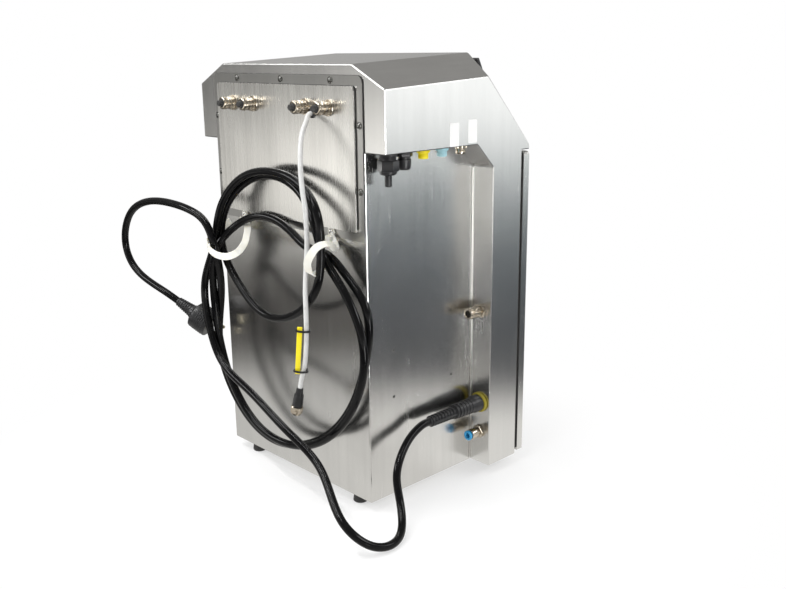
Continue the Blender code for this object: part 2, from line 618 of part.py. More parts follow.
def make_air_fitting():
    inner = STEP_DEPTH + SHEET + 0.006
    at = place(-STEP_PORT_X, inner, FLOOR + AIR_HEIGHT)
    wall = inner - STEP_DEPTH
    bore = AIR_BORE + GAP
    profile = [(bore + 0.0013, wall + 0.0190), (0.0062, wall + 0.0190), (0.0068, wall + 0.0182),
               (0.0068, wall + 0.0080), (0.0055, wall + 0.0075), (0.0055, wall + 0.0060),
               (0.0080, wall + 0.0058), (0.0080, wall + GAP), (0.0048, wall + GAP), (0.0048, 0),
               (0.0026, 0), (0.0026, wall + 0.0100), (bore + 0.0013, wall + 0.0100),
               (bore + 0.0013, wall + 0.0190)]
    body = turned("air_fitting", profile, NICKEL, at, "back", 16)
    joined(body, air_hexagon(at, wall))
    out = wall + 0.0190 + AIR_TRAVEL + 2 * GAP
    collar = [(AIR_BORE, out + 0.0022), (0.0056, out + 0.0022), (0.0062, out + 0.0016), (0.0062, out),
              (AIR_BORE + 0.0013, out), (AIR_BORE + 0.0013, wall + 0.0120), (AIR_BORE, wall + 0.0120),
              (AIR_BORE, out + 0.0022)]
    turned("release_collar", collar, BLUE, at, "back")


def air_hexagon(at, wall):
    nut = hexagon("air_hexagon", 0.0150, wall + 0.0010, wall + 0.0052, NICKEL, at, "back")
    return cut(nut, turned("air_hexagon_bore", [(0, wall + 0.02), (0.0030, wall + 0.02), (0.0030, -0.001),
                                               (0, -0.001)], NICKEL, at, "back", 16))


def make_main_switch():
    """The rocker on the other step wall, in its own frame."""
    z = FLOOR + INLET_HEIGHT
    rim = 0.003
    frame = block("switch_frame", (STEP_PORT_X - SWITCH_HALF - rim, STEP_PORT_X + SWITCH_HALF + rim),
                  (STEP_DEPTH - GAP - 0.002, STEP_DEPTH - GAP),
                  (z - SWITCH_TALL - rim, z + SWITCH_TALL + rim), BLACK)
    sleeve = block("switch_sleeve", (STEP_PORT_X - SWITCH_HALF, STEP_PORT_X + SWITCH_HALF),
                   (STEP_DEPTH - 0.001, STEP_DEPTH + 0.012), (z - SWITCH_TALL, z + SWITCH_TALL), BLACK)
    joined(frame, sleeve)
    well = 0.0012
    cut(frame, block("switch_well", (STEP_PORT_X - SWITCH_HALF + well, STEP_PORT_X + SWITCH_HALF - well),
                     (STEP_DEPTH - 0.01, STEP_DEPTH + 0.0105), (z - SWITCH_TALL + well, z + SWITCH_TALL - well),
                     BLACK))
    half = SWITCH_HALF - well - GAP
    tall = SWITCH_TALL - well - 0.0009
    # The rocker's side outline: up, and out of the wall. Its pivot is where the two faces meet.
    outline = [(-tall, -0.0025), (-tall, 0.0010), (0.0, 0.0), (tall, 0.0038), (tall, -0.0010),
               (0.0025, -0.0070), (-0.0025, -0.0070)]
    flat("switch_rocker", [outline], 2 * half, BLACK, place(STEP_PORT_X, STEP_DEPTH, z), (0, -math.pi / 2, 0))


# ---------------------------------------------------------------- door, its hinge pins, gasket and latch
def make_door():
    bm = bmesh.new()
    bmesh.ops.create_cube(bm, size=1.0)
    bmesh.ops.scale(bm, vec=(CABINET_WIDTH, DOOR_THICKNESS, DOOR_HIGH - DOOR_LOW), verts=bm.verts)
    middle = place(0, BODY_DEPTH - DOOR_THICKNESS / 2, (DOOR_LOW + DOOR_HIGH) / 2)
    bmesh.ops.translate(bm, vec=middle, verts=bm.verts)
    hinge_edges = [e for e in bm.edges if all(v.co.x > HALF_WIDTH - 0.001 for v in e.verts)
                   and abs(e.verts[0].co.z - e.verts[1].co.z) > 0.1]
    bmesh.ops.bevel(bm, geom=hinge_edges, offset=DOOR_THICKNESS * 0.49, segments=4, profile=0.5,
                    affect="EDGES")
    corner = [e for e in bm.edges if all(v.co.x < -HALF_WIDTH + 0.001 and v.co.z > DOOR_HIGH - 0.001
                                         for v in e.verts)]
    bmesh.ops.bevel(bm, geom=corner, offset=0.005, segments=4, profile=0.5, affect="EDGES")
    hinge = place(HINGE_X, HINGE_DEPTH, 0)
    bmesh.ops.translate(bm, vec=-hinge, verts=bm.verts)
    door = add("door_panel", mesh_from(bm, "door_panel"), STEEL, location=hinge)
    bore = PIN_RADIUS + GAP
    for name, low, high in (("low_bore", DOOR_LOW - 0.001, DOOR_LOW + PIN_LENGTH),
                            ("high_bore", DOOR_HIGH - PIN_LENGTH, DOOR_HIGH + 0.001)):
        cut(door, rod(name, place(HINGE_X, HINGE_DEPTH, low), place(HINGE_X, HINGE_DEPTH, high), bore, STEEL, 16))
    cut(door, rod("latch_way", place(LATCH_X, DOOR_BACK - 0.001, LATCH_Z),
                  place(LATCH_X, BODY_DEPTH + 0.001, LATCH_Z), LATCH_BORE + GAP, STEEL))
    return door


def make_hinge_pins():
    rod("hinge_pin_low", place(HINGE_X, HINGE_DEPTH, FLOOR + GAP),
        place(HINGE_X, HINGE_DEPTH, DOOR_LOW + PIN_LENGTH - GAP), PIN_RADIUS, NICKEL, 16)
    rod("hinge_pin_top", place(HINGE_X, HINGE_DEPTH, DOOR_HIGH - PIN_LENGTH + GAP),
        place(HINGE_X, HINGE_DEPTH, CHIN + CHIN_HEIGHT - 0.0015 - GAP), PIN_RADIUS, NICKEL, 16)


def make_gasket():
    low = FLOOR + DOOR_OPENING_LOW
    high = FLOOR + DOOR_OPENING_HIGH
    outer_low = DOOR_LOW + 0.001
    outer_high = DOOR_HIGH - 0.001
    middle = (outer_low + outer_high) / 2
    outer = rounded_outline(CABINET_WIDTH - 0.004, outer_high - outer_low, (0.004,) * 4, 4)
    lip = 0.002
    tall = high - low + 2 * lip
    inner = rounded_outline(DOOR_OPENING_WIDTH + 2 * lip, tall, (0.004,) * 4, 4)
    shift = (low + high) / 2 - middle
    flat("door_gasket", [outer, [(x, z + shift) for x, z in inner]], GASKET_THICKNESS, RUBBER,
         place(0, FRAME_DEPTH + GAP + GASKET_THICKNESS / 2, middle), UPRIGHT)


def make_latch():
    """Quarter-turn latch: knob and wing outside the door, cam behind the frame's lip when it is shut."""
    cam_face = FRAME_DEPTH - SHEET - 0.0008
    cam_back = cam_face - 0.003
    knob = rod("door_latch", place(0, BODY_DEPTH + GAP, 0), place(0, BODY_DEPTH + 0.006, 0), LATCH_KNOB, BLACK, 28)
    knob.location = place(LATCH_X, 0, LATCH_Z)
    shaft = rod("latch_shaft", place(LATCH_X, cam_back + 0.001, LATCH_Z),
                place(LATCH_X, BODY_DEPTH + 0.003, LATCH_Z), LATCH_BORE, NICKEL, 16)
    wing = block("latch_wing", (LATCH_X - 0.0035, LATCH_X + 0.0035), (BODY_DEPTH + 0.004, BODY_DEPTH + 0.014),
                 (LATCH_Z - 0.0155, LATCH_Z + 0.0155), BLACK, 0.0010)
    cam = block("latch_cam", (LATCH_X - 0.006, LATCH_X + 0.006), (cam_back, cam_face),
                (LATCH_Z - 0.019, LATCH_Z + 0.006), NICKEL)
    joined(knob, shaft, wing, cam)


# ---------------------------------------------------------------- screen and keys on the slope
KEYS = (("key_start", 1.5, GREEN_KEY), ("key_up", 0.5, GREY), ("key_down", -0.5, GREY), ("key_stop", -1.5, RED_KEY))


def make_control_panel():
    low, high = GAP, GAP + PANEL_THICKNESS
    panel = sloped_block("control_panel", (-PANEL_WIDTH / 2, PANEL_WIDTH / 2),
                         (-PANEL_HEIGHT / 2, PANEL_HEIGHT / 2), (low, high), BLACK, 0.0012)
    back = sloped_block("panel_back", (-PANEL_WIDTH / 2 + 0.008, PANEL_WIDTH / 2 - 0.008),
                        (-PANEL_HEIGHT / 2 + 0.008, PANEL_HEIGHT / 2 - 0.008), (-PANEL_BACK, low + 0.001), BLACK)
    joined(panel, back)
    cut(panel, sloped_block("screen_seat", (SCREEN_X - SCREEN_WIDTH / 2 - GAP, SCREEN_X + SCREEN_WIDTH / 2 + GAP),
                            (-SCREEN_HEIGHT / 2 - GAP, SCREEN_HEIGHT / 2 + GAP), (high - 0.0025, high + 0.005),
                            BLACK))
    for name, row, _ in KEYS:
        y = row * KEY_PITCH
        half = KEY_SIZE / 2 + GAP
        cut(panel, sloped_block(name + "_way", (KEY_X - half, KEY_X + half), (y - half, y + half),
                                (high - 0.0062, high + 0.002), BLACK))
    sloped_block("screen_glass", (SCREEN_X - SCREEN_WIDTH / 2, SCREEN_X + SCREEN_WIDTH / 2),
                 (-SCREEN_HEIGHT / 2, SCREEN_HEIGHT / 2), (high - 0.0025 + GAP, high - GAP), GLASS)
    for name, row, spec in KEYS:
        half = KEY_SIZE / 2
        mesh = block_mesh(name, (-half, -half, -0.0048), (half, half, 0.0012), 0.0008)
        add(name, mesh, spec, SLOPE, (KEY_X, row * KEY_PITCH, high))


# ---------------------------------------------------------------- inside the cabinet
def make_chassis():
    half = HALF_REAR - SHEET - GAP
    low, high = BASE_TOP + GAP, UNDERSIDE - 0.003
    tall = high - low
    outline = rounded_outline(2 * half, tall, (0, 0, 0, 0))
    cable_way = rounded_outline(0.070, 0.036, (0.006,) * 4, 3)
    shifted = [(x + 0.085, z - tall / 2 + 0.040) for x, z in cable_way]
    flat("chassis_panel", [outline, shifted], CHASSIS_THICKNESS, STEEL,
         place(0, CHASSIS_DEPTH + CHASSIS_THICKNESS / 2, (low + high) / 2), UPRIGHT)


def make_power_supply():
    low = FLOOR + 0.020
    depth = (CHASSIS_DEPTH - GAP - 0.040, CHASSIS_DEPTH - GAP)
    supply = block("power_supply", (-0.125, 0.015), depth, (low, low + 0.092), GREY, 0.001, 1)
    for i in range(6):
        x = -0.110 + i * 0.020
        cut(supply, block(f"supply_slot_{i}", (x, x + 0.006), (depth[0] - 0.001, depth[0] + 0.0025),
                          (low + 0.020, low + 0.072), GREY))


def make_control_board():
    low, high = FLOOR + 0.150, FLOOR + 0.340
    left, right = -0.110, 0.095
    face = CHASSIS_DEPTH - GAP
    board = block("control_board", (left, right), (face - 0.0096, face - 0.0080), (low, high), BOARD_GREEN)
    for x in (left + 0.008, right - 0.008):
        for z in (low + 0.008, high - 0.008):
            joined(board, rod("standoff", place(x, face - 0.0090, z), place(x, face, z), 0.003, NICKEL, 10))
    chips = ((-0.070, 0.060, 0.030, 0.005), (0.000, 0.100, 0.024, 0.004), (0.045, 0.050, 0.036, 0.012),
             (-0.060, 0.140, 0.044, 0.016))
    for x, z, size, tall in chips:
        joined(board, block("chip", (x, x + size), (face - 0.0090 - tall, face - 0.0090),
                            (low + z, low + z + size * 0.7), BLACK))


def make_fan():
    """Cabinet fan lying on the base plate over its vent; the rotor turns on the frame's post."""
    low = BASE_TOP + GAP
    half = FAN_SIZE / 2
    ring_bore = half - 0.003
    centre = place(FAN_X, FAN_DEPTH, low)
    frame = flat("fan_frame", [rounded_outline(FAN_SIZE, FAN_SIZE, (0.005,) * 4, 3), circle_outline(ring_bore, 32)],
                 FAN_HEIGHT, BLACK, centre + Vector((0, 0, FAN_HEIGHT / 2)))
    for turn in (0, 1):
        reach = ring_bore + 0.001
        size = (reach, 0.002) if turn else (0.002, reach)
        joined(frame, block(f"fan_arm_{turn}", (FAN_X - size[0], FAN_X + size[0]),
                            (FAN_DEPTH - size[1], FAN_DEPTH + size[1]), (low, low + 0.002), BLACK))
    joined(frame, rod("fan_seat", centre, centre + Vector((0, 0, 0.0022)), 0.0120, BLACK, 20),
           rod("fan_post", centre, centre + Vector((0, 0, 0.012)), 0.0025, BLACK, 12))
    rotor = rod("fan_rotor", (0, 0, 0.0035), (0, 0, 0.0175), 0.0130, BLACK, 24)
    rotor.location = centre
    blades = 7
    for i in range(blades):
        mesh = block_mesh("fan_blade", (0.0115, -0.0105, -0.0008), (ring_bore - 0.0015, 0.0105, 0.0008))
        blade = add(f"fan_blade_{i}", mesh, BLACK)
        spin = Matrix.Rotation(2 * math.pi * i / blades, 4, "Z")
        pitch = Matrix.Rotation(math.radians(28), 4, "X")
        blade.matrix_local = Matrix.Translation(centre + Vector((0, 0, 0.0105))) @ spin @ pitch
        joined(rotor, blade)
    cut(rotor, rod("rotor_bore", centre, centre + Vector((0, 0, 0.013)), 0.0025 + GAP, BLACK, 12))


def make_drip_tray():
    """Open tray under the tanks: a skin pulled off its own floor."""
    low = BASE_TOP + GAP
    x = HALF_REAR - SHEET - GAP
    near, far = CHASSIS_DEPTH + CHASSIS_THICKNESS + GAP, FRAME_DEPTH - SHEET - GAP - 0.002
    tray = block("drip_tray", (-x, x), (near, far), (low, low + TRAY_HEIGHT), GREY)
    cut(tray, block("tray_hollow", (-x + TRAY_WALL, x - TRAY_WALL), (near + TRAY_WALL, far - TRAY_WALL),
                    (low + TRAY_WALL, low + TRAY_HEIGHT + 0.01), GREY))


def make_tank(name, x, cap_name):
    low = BASE_TOP + TRAY_WALL + 2 * GAP
    tank = block(name, (x - TANK_WIDTH / 2, x + TANK_WIDTH / 2),
                 (TANK_DEPTH - TANK_LENGTH / 2, TANK_DEPTH + TANK_LENGTH / 2), (low, low + TANK_HEIGHT),
                 TANK_WHITE, 0.006)
    top = low + TANK_HEIGHT
    joined(tank, rod(name + "_neck", place(x, TANK_DEPTH, top - 0.002), place(x, TANK_DEPTH, top + CAP_HEIGHT * 0.7),
                     NECK_RADIUS, TANK_WHITE))
    inside = NECK_RADIUS + GAP
    roof = CAP_HEIGHT * 0.7 + GAP
    turned(cap_name, [(0, CAP_HEIGHT + GAP), (CAP_RADIUS - 0.001, CAP_HEIGHT + GAP), (CAP_RADIUS, CAP_HEIGHT - 0.001),
                      (CAP_RADIUS, GAP), (inside, GAP), (inside, roof), (0, roof)],
           BLACK, place(x, TANK_DEPTH, top), sides=28)


def make_pump():
    """Motor and pump head on the chassis, with the coupling that turns between them."""
    z = FLOOR + PUMP_HEIGHT
    face = CHASSIS_DEPTH + CHASSIS_THICKNESS + GAP
    shaft_bore = 0.0030 + GAP
    motor = rod("pump_motor", place(0.020, PUMP_DEPTH, z), place(0.098, PUMP_DEPTH, z), 0.021, GREY, 28)
    joined(motor, block("motor_saddle", (0.030, 0.088), (face, PUMP_DEPTH), (z - 0.010, z + 0.010), GREY))
    cut(motor, rod("motor_bore", place(0.015, PUMP_DEPTH, z), place(0.027, PUMP_DEPTH, z), shaft_bore, GREY, 16))
    head = block("pump_head", (-0.045, 0.000), (face, PUMP_DEPTH + 0.022), (z - 0.022, z + 0.022), NICKEL, 0.0015, 1)
    cut(head, rod("head_bore", place(-0.008, PUMP_DEPTH, z), place(0.004, PUMP_DEPTH, z), shaft_bore, NICKEL, 16))
    coupling = rod("pump_coupling", (0.0015, 0, 0), (0.0185, 0, 0), 0.0115, BLACK, 12)
    coupling.location = place(0, PUMP_DEPTH, z)
    joined(coupling, rod("coupling_shaft", place(-0.0065, PUMP_DEPTH, z), place(0.0260, PUMP_DEPTH, z), 0.0030,
                         NICKEL, 16))


def make_valve_block():
    z = FLOOR + 0.325
    face = CHASSIS_DEPTH + CHASSIS_THICKNESS + GAP
    valves = block("valve_block", (-0.065, 0.065), (face, face + 0.034), (z, z + 0.026), NICKEL, 0.0010, 1)
    for i in range(4):
        x = -0.048 + i * 0.032
        joined(valves, rod(f"solenoid_{i}", place(x, face + 0.017, z + 0.020), place(x, face + 0.017, z + 0.056),
                           0.0105, BLACK, 18))


def make_filter():
    z = FLOOR + 0.225
    face = CHASSIS_DEPTH + CHASSIS_THICKNESS + GAP
    x, depth = -0.098, face + 0.026
    body = turned("ink_filter", [(0, 0.098), (0.007, 0.098), (0.007, 0.088), (0.019, 0.086), (0.019, 0.010),
                                 (0.015, 0.002), (0.006, 0.0), (0, 0)], TANK_WHITE, place(x, depth, z), sides=24)
    joined(body, block("filter_clamp", (x - 0.012, x + 0.012), (face, depth), (z + 0.040, z + 0.058), GREY))


# ---------------------------------------------------------------- cord straps
# Each band is an ellipse hung from its head: where it leaves the head (X, standing out from the back,
# height), how far it points sideways, droops and leans (radians), and its two half lengths.
STRAPS = (
    ("cord_strap_left", 0.084, (0.0840, 0.0057, 0.3160), -0.09, 0.54, 0.00, 0.0310, 0.0304),
    ("cord_strap_right", -0.084, (-0.0877, 0.0094, 0.3220), -0.52, 0.38, 0.15, 0.0315, 0.0136),
)


def make_strap(name, x, root, sideways, droop, lean, long_half, side_half):
    """A nylon tie screwed to the flange: eyelet, head and a band round the cords."""
    eye = FLANGE_FACE + GAP
    z = FLOOR + FLANGE_LOW + 0.0055
    eyelet = rod(name, place(x, -eye, z), place(x, -eye - 0.002, z), 0.0041, NYLON, 20)
    head = block(name + "_head", (x - 0.0045, x + 0.0045), (-eye - 0.0075, -eye), (z - 0.016, z - 0.0035),
                 NYLON, 0.0008, 1)
    along = Vector((math.sin(sideways) * math.cos(droop), math.cos(sideways) * math.cos(droop),
                    -math.sin(droop)))
    level = along.cross(Vector((0, 0, 1))).normalized()
    across = level * math.cos(lean) + level.cross(along) * math.sin(lean)
    through = across.cross(along)
    centre = place(root[0], -root[1], root[2]) + along * long_half
    sides = 40
    angles = [2 * math.pi * i / sides for i in range(sides)]
    bands = [[((side_half - inset) * math.cos(a), (long_half - inset) * math.sin(a)) for a in angles]
             for inset in (-STRAP_THICKNESS / 2, STRAP_THICKNESS / 2)]
    band = flat(name + "_band", bands, STRAP_WIDTH, NYLON)
    turn = Matrix((across, along, through)).transposed().to_4x4()
    band.matrix_local = Matrix.Translation(centre) @ turn
    return joined(eyelet, head, band)


# ---------------------------------------------------------------- cords and what is on them
# Routes in millimetres: X, how far out from the cabinet's back face, height above the floor.
MAINS_ROUTE = (
    (-155, -80, 97), (-155, -72, 97), (-155, -54, 90), (-162, -29.5, 77), (-170, -12, 55.5),
    (-180.5, -6.5, 29.5), (-202, 12, 9), (-212, 33, 5.2), (-212, 50, 7), (-205.5, 69, 16.5),
    (-180, 81, 39), (-117.5, 58, 71),
    (-62, 62, 102), (14, 58, 128), (84, 51, 149), (114, 48, 196), (120, 45, 247), (100, 42, 293),
    (86, 37, 344), (51, 28, 382), (-10, 26, 394), (-68, 30, 383), (-100, 35, 354), (-103, 35, 311),
    (-100, 39, 277), (-56, 36, 236), (10, 34, 222), (61, 32, 248), (95, 32, 292), (89, 28, 341),
    (55, 18, 376), (-3, 16, 387), (-54, 20, 371), (-86, 28, 340), (-96, 25, 307), (-122, 24, 279),
    (-154, 24, 230), (-154, 24, 175), (-116, 26, 110), (-52, 32, 69), (27, 36, 70), (82, 38, 117),
    (105, 39, 177), (108, 41, 242), (92, 43, 291), (81, 26, 316), (46, 13, 334), (-16, 14, 328),
    (-65, 22, 313), (-92, 17, 308), (-117, 11, 287), (-149, 11, 254), (-148, 10, 205), (-126, 12, 141),
    (-71, 16, 80), (14, 24, 53), (84, 28, 86), (122, 28, 156), (103, 33, 234), (85, 50, 296),
    (99.7, 53, 326.5), (124, 57, 338), (160, 58.2, 342), (208, 60, 341), (250.5, 61, 330.3),
    (279.3, 61, 310.5), (296, 60, 279.4), (291.8, 58.5, 252.8), (273, 56, 234.4), (234.3, 55, 223),
    (207.1, 51.7, 215.4), (192.3, 44.5, 205.9),
)
SIGNAL_ROUTE = (
    (-60, 5.4, 460.8), (-60.2, 10, 460.6), (-66, 19, 454), (-70.5, 27, 446), (-74.5, 34, 434.5),
    (-79, 39, 423), (-83.2, 43, 409), (-86.5, 45, 394.5), (-88.5, 45, 377.5), (-90, 44, 362),
    (-88.6, 42, 337), (-85.8, 40, 320), (-83.6, 40, 303), (-84.9, 42.7, 286.8), (-87.6, 46, 271),
    (-89.4, 47.7, 255), (-90, 48.2, 240), (-89.6, 48.5, 221), (-87.8, 49, 198.4), (-83.6, 49, 179.8),
    (-78.2, 49, 166), (-75, 49, 154.6),
)
MAINS_POINTS = 132
ON_THE_CORDS = ("inlet_plug", "mains_plug", "signal_plug", "coupling_ring", "cable_marker")
SIGNAL_POINTS = 30
MARKER_HEIGHT = 0.2045             # of its middle, above the floor
MARKER_SIZE = (0.0070, 0.0030, 0.058)
MARKER_LIFT = 0.0018               # the cable bends behind the straight marker


def smooth_route(route, count):
    """Points on one smooth curve through a route's own points, closer together where it bends."""
    own = np.array([(x, out, z) for x, out, z in route], float) / 1000
    knots = np.concatenate(([0.0], np.cumsum(np.linalg.norm(np.diff(own, axis=0), axis=1) ** 0.5)))
    steps = np.diff(knots)
    size = len(own)
    matrix = np.zeros((size, size))
    matrix[0, :2] = 2, 1        # each end runs on along its first and last chord
    matrix[-1, -2:] = 1, 2
    rises = np.zeros((size, 3))
    slopes = np.diff(own, axis=0) / steps[:, None]
    for i in range(1, size - 1):
        matrix[i, i - 1:i + 2] = steps[i - 1], 2 * (steps[i - 1] + steps[i]), steps[i]
        rises[i] = 6 * (slopes[i] - slopes[i - 1])
    bends = np.linalg.solve(matrix, rises)
    fine = np.linspace(0, knots[-1], 2400)
    cell = np.clip(np.searchsorted(knots, fine, side="right") - 1, 0, size - 2)
    step = steps[cell][:, None]
    near = (knots[cell + 1] - fine)[:, None]
    far = (fine - knots[cell])[:, None]
    curve = (bends[cell] * near ** 3 + bends[cell + 1] * far ** 3) / (6 * step)
    curve += (own[cell] / step - bends[cell] * step / 6) * near
    curve += (own[cell + 1] / step - bends[cell + 1] * step / 6) * far
    parts = np.diff(curve, axis=0)
    lengths = np.linalg.norm(parts, axis=1)
    headings = parts / lengths[:, None]
    turns = np.linalg.norm(np.diff(headings, axis=0), axis=1)
    weight = lengths + 0.035 * np.concatenate(([0.0], turns))
    along = np.concatenate(([0.0], np.cumsum(weight)))
    wanted = np.concatenate(([0.0, along[-1] * 0.001], np.linspace(0, along[-1], count)[1:-1],
                             [along[-1] * 0.999, along[-1]]))
    return [Vector([np.interp(w, along, curve[:, k]) for k in range(3)]) for w in wanted]


def tube(name, points, diameter, spec, resolution=2):
    curve = bpy.data.curves.new(name, "CURVE")
    curve.dimensions = "3D"
    curve.bevel_depth = diameter / 2
    curve.bevel_resolution = resolution
    curve.use_fill_caps = True
    curve.resolution_u = 1
    spline = curve.splines.new("POLY")
    spline.points.add(len(points) - 1)
    for point, co in zip(spline.points, points):
        point.co = (*co, 1.0)
    obj = bpy.data.objects.new(name, curve)
    PARTS.objects.link(obj)
    obj.parent = ORIGIN
    curve.materials.append(material(spec))
    return obj


def aimed(name, profile, spec, start, direction, sides=20):
    """A turned piece whose profile height runs from start along direction."""
    obj = turned(name, profile, spec, start, sides=sides)
    obj.rotation_mode = "QUATERNION"
    obj.rotation_quaternion = direction.to_track_quat("Z", "Y")
    return obj


def make_mains_cord():
    points = smooth_route(MAINS_ROUTE, MAINS_POINTS)
    tube("mains_cord", points, CORD_DIAMETER, CORD_BLACK)
    seat = place(-STEP_PORT_X, STEP_DEPTH - RING_THICKNESS - 2 * GAP, FLOOR + INLET_HEIGHT)
    length = points[0].y - seat.y - GAP
    relief = length - 0.046
    profile = [(0, length), (0.0058, length), (0.0066, length - 0.004)]
    for i in range(4):
        top = length - 0.008 - i * 0.009
        profile += [(0.0068 + i * 0.0002, top), (0.0054 + i * 0.0003, top - 0.0010),
                    (0.0054 + i * 0.0003, top - 0.0035), (0.0070 + i * 0.0002, top - 0.0045)]
    profile += [(0.0082, relief), (0.0100, 0.012), (0.0108, 0.010), (0.0108, 0), (0, 0)]
    turned("inlet_plug", profile, BLACK, seat, "back", 16)
    make_mains_plug(points[-1], (points[-1] - points[-2]).normalized())


def make_mains_plug(end, heading):
    """The mains plug on the cord's far end: tapered relief, grip, face and two round pins."""
    start = end + heading * GAP
    profile = [(0, 0.056), (0.0172, 0.056), (0.0182, 0.0545), (0.0182, 0.033), (0.0165, 0.0295),
               (0.0105, 0.027), (0.0084, 0.023), (0.0076, 0.017), (0.0056, 0.0), (0, 0)]
    plug = aimed("mains_plug", profile, BLACK, start, heading)
    side = heading.cross(Vector((0, 1, 0))).normalized() * 0.0095
    for sign in (1, -1):
        foot = start + heading * 0.052 + side * sign
        joined(plug, rod("plug_pin", foot, foot + heading * 0.023, 0.0024, NICKEL, 12))


def make_signal_cable():
    points = smooth_route(SIGNAL_ROUTE, SIGNAL_POINTS)
    tube("signal_cable", points, CABLE_DIAMETER, CABLE_GREY)
    heading = (points[-1] - points[-2]).normalized()
    start = points[-1] + heading * GAP
    aimed("signal_plug", [(0, 0.034), (0.0030, 0.034), (0.0030, 0.0245), (0.0054, 0.0245), (0.0058, 0.0230),
                          (0.0050, 0.0110), (0.0046, 0.0090), (0.0036, 0.0), (0, 0)], BLACK, start, heading)
    bore = 0.0030 + GAP
    aimed("coupling_ring", [(bore, 0.0105), (0.0060, 0.0105), (0.0071, 0.0095), (0.0071, 0.0), (bore, 0.0),
                            (bore, 0.0105)], NICKEL, start + heading * (0.0245 + GAP), heading)
    middle = min(points, key=lambda point: abs(point.z - MARKER_HEIGHT))
    index = points.index(middle)
    axis = (points[index - 1] - points[index + 1]).normalized()
    beside = axis.cross(Vector((-0.726, 0.688, 0))).normalized()
    if beside.x < 0:
        beside.negate()
    size = Vector(MARKER_SIZE)
    bm = bmesh.new()
    bmesh.ops.create_cube(bm, size=1.0)
    bmesh.ops.scale(bm, vec=size, verts=bm.verts)
    marker = add("cable_marker", mesh_from(bm, "cable_marker"), YELLOW)
    turn = Matrix((beside, axis.cross(beside), axis)).transposed().to_4x4()
    away = beside * (CABLE_DIAMETER / 2 + MARKER_LIFT + size.x / 2)
    marker.matrix_local = Matrix.Translation(middle + away) @ turn


def stand_on_origin():
    """Moves everything so that the floor under the object's middle, cords left out, is the origin."""
    bpy.context.view_layer.update()
    graph = bpy.context.evaluated_depsgraph_get()
    low, high = math.inf, -math.inf
    for obj in PARTS.objects:
        if obj.type != "MESH" or obj.name in ON_THE_CORDS:
            continue
        mesh = obj.evaluated_get(graph).data
        ys = [(obj.matrix_world @ v.co).y for v in mesh.vertices]
        low, high = min(low, *ys), max(high, *ys)
    ORIGIN.location.y = -(low + high) / 2


def build():
    make_hood()
    make_rear_shell()
    make_base()
    make_feet()
    make_rear_cover()
    for index, x in enumerate(SOCKET_X):
        make_back_socket(index, x)
    make_printhead_gland()
    make_spare_gland()
    make_small_socket("sensor_socket", SENSOR_DEPTH, YELLOW)
    make_small_socket("beacon_socket", BEACON_DEPTH, PALE_BLUE)
    make_small_socket("network_socket", NETWORK_DEPTH, NICKEL)
    make_encoder_socket()
    make_inlet()
    make_air_fitting()
    make_main_switch()
    make_door()
    make_hinge_pins()
    make_gasket()
    make_latch()
    make_control_panel()
    make_chassis()
    make_power_supply()
    make_control_board()
    make_fan()
    make_drip_tray()
    make_tank("ink_tank", -TANK_X, "ink_cap")
    make_tank("solvent_tank", TANK_X, "solvent_cap")
    make_pump()
    make_valve_block()
    make_filter()
    for strap in STRAPS:
        make_strap(*strap)
    make_mains_cord()
    make_signal_cable()
    stand_on_origin()


build()
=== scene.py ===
"""Date code inkjet printer cabinet: its finishes, fittings and cords, and the small studio around it."""

import math

import bmesh
import bpy
import numpy as np
from mathutils import Matrix, Vector


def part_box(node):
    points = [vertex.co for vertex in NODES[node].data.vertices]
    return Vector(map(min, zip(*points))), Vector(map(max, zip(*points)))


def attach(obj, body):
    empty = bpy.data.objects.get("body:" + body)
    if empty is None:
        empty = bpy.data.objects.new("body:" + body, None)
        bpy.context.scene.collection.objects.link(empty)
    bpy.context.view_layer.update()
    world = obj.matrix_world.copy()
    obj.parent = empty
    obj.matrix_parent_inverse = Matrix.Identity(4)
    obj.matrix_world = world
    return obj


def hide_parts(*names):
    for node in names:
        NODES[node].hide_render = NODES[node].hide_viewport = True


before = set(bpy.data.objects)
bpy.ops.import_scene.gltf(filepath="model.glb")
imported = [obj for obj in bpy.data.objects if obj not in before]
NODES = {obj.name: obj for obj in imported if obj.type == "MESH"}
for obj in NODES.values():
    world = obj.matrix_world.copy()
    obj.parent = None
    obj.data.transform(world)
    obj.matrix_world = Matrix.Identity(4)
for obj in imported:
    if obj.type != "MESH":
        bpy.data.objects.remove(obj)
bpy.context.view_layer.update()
SCENE = bpy.context.scene
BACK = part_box("rear_shell")[1].y          # the cabinet's back face
FLAT_TURN = Matrix.Identity(4)
DIAGONAL = 0.7071                         # share of each axis in a direction halfway between two


def at(x, out, z):
    """A point in millimetres: across, out of the back face, above the floor."""
    return Vector((x / 1000, BACK + out / 1000, z / 1000))


# ------------------------------------------------------------------ node building
class Value:
    """One output in a node tree. Arithmetic on it adds Math nodes to that tree."""

    def __init__(self, nodes, socket):
        self.nodes = nodes
        self.socket = socket

    def sum_with(self, operation, first, second):
        return self.nodes.node("ShaderNodeMath", {"operation": operation}, {0: first, 1: second})

    def __add__(self, other):
        return self.sum_with("ADD", self, other)

    def __sub__(self, other):
        return self.sum_with("SUBTRACT", self, other)

    def __rsub__(self, other):
        return self.sum_with("SUBTRACT", other, self)

    def __mul__(self, other):
        return self.sum_with("MULTIPLY", self, other)

    def __truediv__(self, other):
        return self.sum_with("DIVIDE", self, other)

    def __pow__(self, other):
        return self.sum_with("POWER", self, other)

    __radd__ = __add__
    __rmul__ = __mul__


